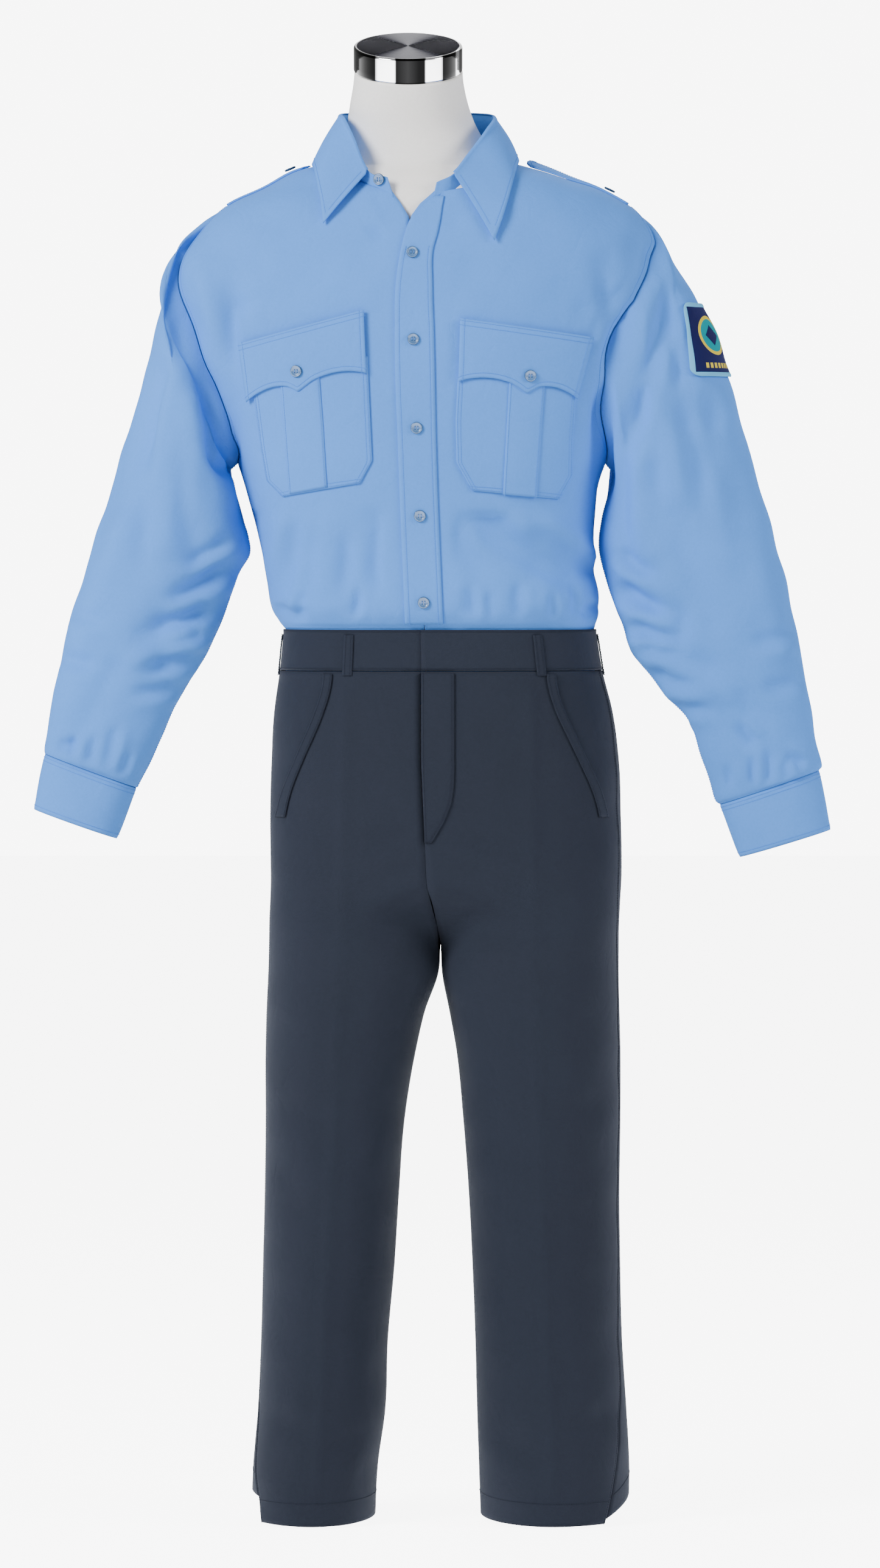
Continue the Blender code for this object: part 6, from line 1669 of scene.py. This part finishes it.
class UNIFORM_OT_badge(bpy.types.Operator):
    """Embroidered badge on the wearer's left sleeve, with a raised edge"""

    bl_idname = "uniform.badge"
    bl_label = "Sleeve badge"

    def execute(self, context):
        grid = sleeve_outer("right")
        normals = outward_normals(grid)
        count, steps = grid.shape[1], np.linspace(0, 1, BADGE_POINTS)
        down, across = steps[:, None], steps[None, :]
        edge = np.minimum(down, 1 - down) * BADGE_LENGTH
        past = np.maximum(BADGE_CORNER - edge, 0)
        pull = BADGE_CORNER - np.sqrt(np.maximum(BADGE_CORNER**2 - past**2, 0))
        share = lerp(pull / BADGE_WIDTH, 1 - pull / BADGE_WIDTH, across)
        rows, angles = badge_place(grid, down, share, SLEEVE_STEPS)

        def at(field):
            i, j = np.floor(rows).astype(int), np.floor(angles).astype(int)
            u, v = (rows - i)[..., None], (angles - j)[..., None]
            a, b = field[i, j % count], field[i, (j + 1) % count]
            c, d = field[i + 1, j % count], field[i + 1, (j + 1) % count]
            return lerp(lerp(a, b, v), lerp(c, d, v), u)

        base, out = at(grid), unit(at(normals))
        from_edge = np.minimum(edge, np.minimum(share, 1 - share) * BADGE_WIDTH)
        round_off = 1 - ((from_edge - BADGE_BORDER / 2) / (BADGE_BORDER / 2)) ** 2
        border = BADGE_EDGE_HEIGHT * np.sqrt(np.clip(round_off, 0, 1))
        outer = base + out * (BADGE_LIFT + BADGE_WALL - BADGE_EDGE_HEIGHT + border)[..., None]
        inner = base + out * BADGE_LIFT
        piece = dress("badge", "sleeve_badge", outer, inner)
        design = piece.data.uv_layers.new(name="design")
        place = np.stack([1 - share * np.ones_like(down), 1 - down * np.ones_like(share)], axis=-1)
        place = np.concatenate([place.reshape(-1, 2), place.reshape(-1, 2)])
        corner = np.empty(len(piece.data.loops), dtype=np.int32)
        piece.data.loops.foreach_get("vertex_index", corner)
        design.data.foreach_set("uv", place[corner].astype(np.float32).ravel())
        return {"FINISHED"}


def button_places():
    """Each button's node, the point of the cloth under it, and the cloth's normal there."""
    places = []
    top = PLACKET_LIFT + SHIRT_WALL + BUTTON_LIFT
    for number, (x, z) in enumerate(PLACKET_BUTTONS, 1):
        x, z = np.array(x), np.array(z)
        places.append((f"button_front_{number}", on_front(x, z, top), front_normal(x, z)))
    flap_top = POCKET_LIFT + 2 * SHIRT_WALL + 2 * SEAM_GAP + COLLAR_WALL + BUTTON_LIFT
    for side in ("left", "right"):
        x, z = (np.array(value) for value in FLAP_BUTTON[side])
        places.append((f"button_pocket_{side}", on_front(x, z, flap_top + FLAP_PUFF_AT_BUTTON),
                       front_normal(x, z)))
        first, last, lift_neck, lift_arm = EPAULETTE[side]
        row, angle = np.array(EPAULETTE_BUTTON_ROW[side]), np.array(180.0 if side == "left" else 0.0)
        share = (EPAULETTE_BUTTON_ROW[side] - first) / (last - first)
        height = lerp(lift_neck, lift_arm, smoothstep(share * 1.2)) + EPAULETTE_WALL + 0.5
        places.append((f"button_epaulette_{side}", trunk_point(row, angle, height),
                       trunk_normals(row, angle)))
        high, low = (tube_ring(CUFF[side][k], CUFF_POINTS) for k in (0, 2))
        place = (high[CUFF_BUTTON_POINT] + low[CUFF_BUTTON_POINT]) / 2
        normal = unit(place - (high.mean(axis=0) + low.mean(axis=0)) / 2)
        places.append((f"button_cuff_{side}", place + normal * CUFF_BUTTON_LIFT, normal))
    stations = smooth_curve(numbered(COLLAR_STAND))
    station, ahead = stations(np.array(STAND_BUTTON)), stations(np.array(STAND_BUTTON + 0.1))
    seam, top = station[:3], station[3:]
    normal = unit(np.cross(top - seam, ahead[:3] - seam))
    normal = normal if normal[1] < 0 else -normal
    places.append(("button_collar", lerp(seam, top, 0.55) + normal * 0.2, normal))
    return places


class UNIFORM_OT_buttons(bpy.types.Operator):
    """Pearly buttons with four holes and their thread"""

    bl_idname = "uniform.buttons"
    bl_label = "Buttons"

    def execute(self, context):
        pearl = pearl_material()
        thread = thread_material("button_thread", context.scene.uniform_shirt.thread_colour)
        # Painted shade: each hole is a near-black cap that stands for the shade inside it.
        hole = thread_material("button_hole_painted_shade", (0.01, 0.015, 0.03))
        # Painted shade: the buttons' rims get their colour at 0.3.
        rim = thread_material("button_rim_painted_shade", scaled(context.scene.uniform_trim.button, 0.3))
        groups = {0: [], 1: [], 2: [], 3: []}
        points, start = [], 0
        places = button_places()
        for _, place, normal in places:
            turned = revolve(BUTTON_TURNING, place, normal, BUTTON_POINTS)
            parts = [(3, turned[:BUTTON_PAINTED_SHADE_RINGS]), (0, turned[BUTTON_PAINTED_SHADE_RINGS - 1:])]
            across = unit(np.cross(normal, np.array([0.0, 0.0, 1.0])))
            upward = np.cross(across, normal)
            for side in (-1, 1):
                for rise in (-1, 1):
                    at = place + (across * side + upward * rise) * BUTTON_HOLE_PLACE
                    parts.append((2, revolve(BUTTON_HOLE, at, normal, HOLE_POINTS)))
                at = place + across * side * BUTTON_HOLE_PLACE + normal * BUTTON_THREAD_HEIGHT
                bar = [at + upward * reach * BUTTON_HOLE_PLACE for reach in (-1.15, -1.1, 1.1, 1.15)]
                width = [0.05, 0.35, 0.35, 0.05]
                turn = np.linspace(0, 2 * math.pi, THREAD_POINTS, endpoint=False)
                circle = np.cos(turn)[:, None] * across + np.sin(turn)[:, None] * normal
                parts.append((1, np.array([middle + circle * wide for middle, wide in zip(bar, width)])))
            for kind, rings in parts:
                count = rings.shape[1]
                corners = ring_corners(len(rings), count, start)
                groups[kind].append(corners)
                points.append(rings.reshape(-1, 3))
                start += len(rings) * count
        points = np.concatenate(points)
        corners = np.concatenate([np.concatenate(groups[kind]) for kind in groups])
        made = mesh_of_faces("shirt_buttons", points, corners, None, [pearl, thread, hole, rim])
        kinds = np.repeat(list(groups), [sum(map(len, groups[kind])) for kind in groups])
        made.data.polygons.foreach_set("material_index", kinds.astype(np.int32))
        close_solid(made)
        claim(made, "button", *[node for node, _, _ in places])
        return {"FINISHED"}


def close_solid(made):
    """Closes the open rings of a turned piece and points its faces outwards."""
    work = bmesh.new()
    work.from_mesh(made.data)
    bmesh.ops.remove_doubles(work, verts=work.verts, dist=1e-7)
    bmesh.ops.holes_fill(work, edges=[edge for edge in work.edges if edge.is_boundary], sides=0)
    bmesh.ops.recalc_face_normals(work, faces=work.faces)
    work.to_mesh(made.data)
    work.free()


class UNIFORM_OT_trousers(bpy.types.Operator):
    """Fronts and backs of the trousers"""

    bl_idname = "uniform.trousers"
    bl_label = "Trousers"

    def execute(self, context):
        count = round(TROUSER_TOP / TROUSER_ROW_STEP)
        rows = np.linspace(TROUSER_TOP, 0, count)
        for panel in ("front", "back"):
            for side in ("left", "right"):
                share = np.linspace(0, 1, TROUSER_COLUMNS)[None, :] * np.ones((count, 1))
                hem = np.array(HEM[panel, side], float)
                rise = smooth_curve(hem)(share[0])[:, 0]
                z = rows[:, None] + rise * np.clip(1 - rows / HEM_BEND, 0, 1)[:, None]
                outer = trouser_point(panel, side, share, z)
                inner = trouser_point(panel, side, share, z, np.full(z.shape, -TROUSER_WALL))
                keep = np.minimum if side == "left" else np.maximum
                inner[:, -6:, 0] = keep(inner[:, -6:, 0], outer[:, -1:, 0])
                seams = [("last_row", 25.0), ("first_column", 2.0)]
                if panel == "back":
                    seams.append(("last_column", 2.0, (0.0, 0.3)))
                dress("trousers", f"trouser_{panel}_{side}", outer, inner, rows=seams)
        return {"FINISHED"}


class UNIFORM_OT_trouser_trim(bpy.types.Operator):
    """Waistband, belt loops, fly and slanted pocket edges"""

    bl_idname = "uniform.trouser_trim"
    bl_label = "Waistband and fly"

    def execute(self, context):
        left, right, _, _, power = hip_sections(np.array(946.0))
        start = float(section_angle(left, right, power, MIDDLE_SEAM[0, 1], FRONT))
        tall, round_points = BAND_GRID
        angle = np.linspace(start + 0.01, start + 359.99, round_points)[None, :] * np.ones((tall, 1))
        z = np.linspace(WAISTBAND_TOP + BAND_RISE, WAISTBAND_BOTTOM, tall)[:, None] * np.ones_like(angle)
        outer, inner = hip_point(angle, z, 0.0), hip_point(angle, z, -WAISTBAND_WALL)
        dress("trousers", "waistband", outer, inner, rows=[("first_row", 2.0), ("last_row", 2.0)])
        places = np.linspace(0, 1, LOOP_GRID[0])
        arch = smooth_curve(numbered(np.array(BELT_LOOP_ARCH)[:, None]))(places * (len(BELT_LOOP_ARCH) - 1))
        arch = arch[:, :, None] * LOOP_FLATNESS
        half = np.degrees(BELT_LOOP_HALF_WIDTH / 150.0)
        for name, angle in BELT_LOOPS:
            z = lerp(BELT_LOOP_TOP, BELT_LOOP_BOTTOM, places)[:, None] * np.ones((1, LOOP_GRID[1]))
            angles = np.linspace(angle - half, angle + half, LOOP_GRID[1])[None, :] * np.ones_like(z)
            outer, inner = hip_point(angles, z, arch + BELT_LOOP_WALL), hip_point(angles, z, arch)
            dress("trousers", f"belt_loop_{name}", outer, inner,
                  [("first_column", 2.5), ("last_column", 2.5)])
        z = np.linspace(FLY[0, 0], FLY[-1, 0], FLY_GRID[0])[:, None] * np.ones((1, FLY_GRID[1]))
        width = np.interp(z, FLY[::-1, 0], FLY[::-1, 1])
        middle = np.interp(z, MIDDLE_SEAM[::-1, 0], MIDDLE_SEAM[::-1, 1])
        x = middle + width * np.linspace(0.01, 1, FLY_GRID[1])[None, :]
        outer, inner = on_trousers(x, z, SEAM_GAP + TROUSER_WALL), on_trousers(x, z, SEAM_GAP)
        dress("trousers", "trouser_fly", outer, inner,
              [("last_column", 3.0), ("first_column", 2.0)])
        tall, wide = POCKET_EDGE_GRID
        for side, top_z, top_x, end_z, end_x in POCKET_EDGES:
            z = np.linspace(top_z, end_z, tall)[:, None] * np.ones((1, wide))
            slant = smoothstep(np.linspace(0, 0.9, tall))[:, None] ** 0.9
            x = lerp(top_x, end_x, slant) + POCKET_EDGE_HALF_WIDTH * np.linspace(-1, 1, wide)[None, :]
            outer = on_trousers(x, z, POCKET_EDGE_LIFT + POCKET_EDGE_WALL)
            inner = on_trousers(x, z, POCKET_EDGE_LIFT)
            dress("trousers", f"trouser_pocket_edge_{side}", outer, inner,
                  [("first_column", 2.0), ("last_column", 2.0)])
        return {"FINISHED"}


def turned_solid(name, node, rings, slot, material):
    """A closed solid through rings of points, standing for a node."""
    rings = np.asarray(rings)
    corners = ring_corners(len(rings), rings.shape[1])
    made = mesh_of_faces(name, rings.reshape(-1, 3), corners, None, [material])
    close_solid(made)
    made.data.shade_smooth()
    claim(made, slot, node)
    return made


class UNIFORM_OT_dress_form(bpy.types.Operator):
    """Form with its neck, chrome cap, and the two legs inside the trousers"""

    bl_idname = "uniform.dress_form"
    bl_label = "Dress form"

    def execute(self, context):
        count = FORM_POINTS
        degrees = np.linspace(0, 360, count, endpoint=False)
        neck = smooth_curve(numbered(NECK_RINGS))
        rings = [form_ring(row[:3], row[3], row[4], row[5], count)
                 for row in neck(np.linspace(0, len(NECK_RINGS) - 1, NECK_FORM_ROWS))]
        places = np.interp(np.linspace(0, len(FORM_TRUNK_ROWS) - 1, TRUNK_FORM_ROWS),
                           np.arange(len(FORM_TRUNK_ROWS)), FORM_TRUNK_ROWS)
        for row in places:
            rows = np.full(count, row)
            inset = form_insets(rows)[:, 0] + FORM_EXTRA_INSET
            rings.append(trunk_base(rows, degrees) - trunk_normals(rows, degrees) * inset[:, None])
        for z, inset in zip(FORM_HIP_ROWS, FORM_HIP_INSET):
            rings.append(hip_point(degrees, np.full(count, z), -inset))
        turned_solid("form_body_cover", "form_body", rings, "form", jersey_material())
        angle = math.radians(CAP_TILT)
        axis = np.array([0, -math.sin(angle), math.cos(angle)])
        rings = [form_ring(np.array(CAP_CENTRE) - axis * down, CAP_RADIUS - narrower, CAP_RADIUS - narrower,
                           CAP_TILT, CAP_POINTS) for down, narrower in CAP_TURNING]
        cap = turned_solid("neck_cap_chrome", "neck_cap", rings, "chrome", chrome_side_painted_reflection_material())
        cap.data.materials.append(chrome_top_painted_reflection_material())
        for polygon in cap.data.polygons:
            flat = polygon.normal.dot(axis) > 0.999
            polygon.material_index = 1 if flat else 0
            polygon.use_smooth = not flat
        cap.data.set_sharp_from_angle(angle=math.radians(40))
        steel = steel_material()
        for side, (x, y) in STAND_PLACES.items():
            rings = [form_ring((x, y, z), wide, deep, 0.0, STAND_POINTS) for z, wide, deep in STAND_PROFILE]
            stand = turned_solid(f"stand_{side}_steel", f"stand_{side}", rings, "stand", steel)
            stand.data.set_sharp_from_angle(angle=math.radians(35))
        return {"FINISHED"}


class UNIFORM_OT_stitches(bpy.types.Operator):
    """Rows of stitches along the seams and edges"""

    bl_idname = "uniform.stitches"
    bl_label = "Stitches"

    def execute(self, context):
        scene = context.scene
        shirt_thread = thread_material("shirt_thread", scene.uniform_shirt.thread_colour)
        trouser_thread = thread_material("trouser_thread", scene.uniform_trousers.thread_colour)
        sewn("shirt_stitches", STITCH_LINES["shirt"], shirt_thread, "shirt")
        sewn("trouser_stitches", STITCH_LINES["trousers"], trouser_thread, "trousers")
        return {"FINISHED"}


def turn_to(made, place, aim):
    made.location = place
    towards = mathutils.Vector(aim) - mathutils.Vector(place)
    made.rotation_euler = towards.to_track_quat("-Z", "Y").to_euler()


def area_light(name, place, aim, size, power):
    light = bpy.data.lights.new(name, "AREA")
    light.shape, light.size, light.energy = "DISK", size, power
    turn_to(add_object(name, light), place, aim)


class UNIFORM_OT_stage(bpy.types.Operator):
    """Pale floor, soft lights and the camera"""

    bl_idname = "uniform.stage"
    bl_label = "Stage"

    def execute(self, context):
        look = context.scene.uniform_stage
        corners = [(-20, -20, -0.0005), (20, -20, -0.0005), (20, 20, -0.0005), (-20, 20, -0.0005)]
        mesh = bpy.data.meshes.new("floor")
        mesh.from_pydata(corners, [], [(0, 1, 2, 3)])
        mesh.materials.append(floor_material())
        add_object("floor", mesh)
        area_light("key", (-2.9, -2.7, 3.1), (0, 0, 0.95), 1.8, look.key_power)
        area_light("fill", (3.4, -1.4, 2.3), (0, 0, 0.9), 1.6, look.fill_power)
        area_light("back", (0.4, 2.6, 2.9), (0, 0, 1.0), 2.0, look.back_power)
        world = bpy.data.worlds.new("pale surroundings")
        world.use_nodes = True
        ground = world.node_tree.nodes["Background"]
        ground.inputs[0].default_value = (1.0, 1.0, 1.0, 1.0)
        rays = add_node(world.node_tree, "ShaderNodeLightPath")
        strength = add_node(world.node_tree, "ShaderNodeMix", {
            0: rays.outputs["Is Camera Ray"], 2: look.world_strength, 3: look.backdrop_strength}).outputs[0]
        world.node_tree.links.new(strength, ground.inputs[1])
        context.scene.world = world
        camera = bpy.data.cameras.new("camera")
        camera.sensor_fit = "VERTICAL"
        distance = math.hypot(look.camera_distance, look.camera_height - look.aim_height)
        camera.angle = 2 * math.atan(look.view_height / 2 / distance)
        context.scene.camera = add_object("camera", camera)
        turn_to(context.scene.camera, (look.aim_side, -look.camera_distance, look.camera_height),
                (look.aim_side, 0, look.aim_height))
        return {"FINISHED"}


PIECE_OPERATORS = [
    UNIFORM_OT_stage, UNIFORM_OT_dress_form, UNIFORM_OT_shirt_body, UNIFORM_OT_sleeves, UNIFORM_OT_collar,
    UNIFORM_OT_front_pieces, UNIFORM_OT_epaulettes, UNIFORM_OT_badge, UNIFORM_OT_buttons,
    UNIFORM_OT_trousers, UNIFORM_OT_trouser_trim, UNIFORM_OT_stitches,
]


class UNIFORM_PT_pieces(bpy.types.Panel):
    """Pieces and settings of the uniform"""

    bl_label = "Uniform"
    bl_idname = "UNIFORM_PT_pieces"
    bl_space_type = "VIEW_3D"
    bl_region_type = "UI"
    bl_category = "Uniform"

    def draw(self, context):
        for operator in PIECE_OPERATORS:
            self.layout.operator(operator.bl_idname)
        for name in SETTINGS:
            group = getattr(context.scene, name)
            box = self.layout.box()
            for key in group.bl_rna.properties.keys():
                if key not in ("rna_type", "name"):
                    box.prop(group, key)


SETTINGS = {
    "uniform_shirt": UniformShirt, "uniform_trousers": UniformTrousers, "uniform_trim": UniformTrim,
    "uniform_form": UniformForm, "uniform_stage": UniformStage,
}


def register():
    for kind in (*SETTINGS.values(), *PIECE_OPERATORS, UNIFORM_PT_pieces):
        bpy.utils.register_class(kind)
    for name, kind in SETTINGS.items():
        setattr(bpy.types.Scene, name, bpy.props.PointerProperty(type=kind))


def unregister():
    for name in SETTINGS:
        delattr(bpy.types.Scene, name)
    for kind in (UNIFORM_PT_pieces, *PIECE_OPERATORS[::-1], *SETTINGS.values()):
        bpy.utils.unregister_class(kind)


def main():
    register()
    for operator in PIECE_OPERATORS:
        area, name = operator.bl_idname.split(".")
        result = getattr(getattr(bpy.ops, area), name)()
        if result != {"FINISHED"}:
            raise RuntimeError(f"{operator.bl_label} was not finished")


if __name__ == "__main__":
    main()
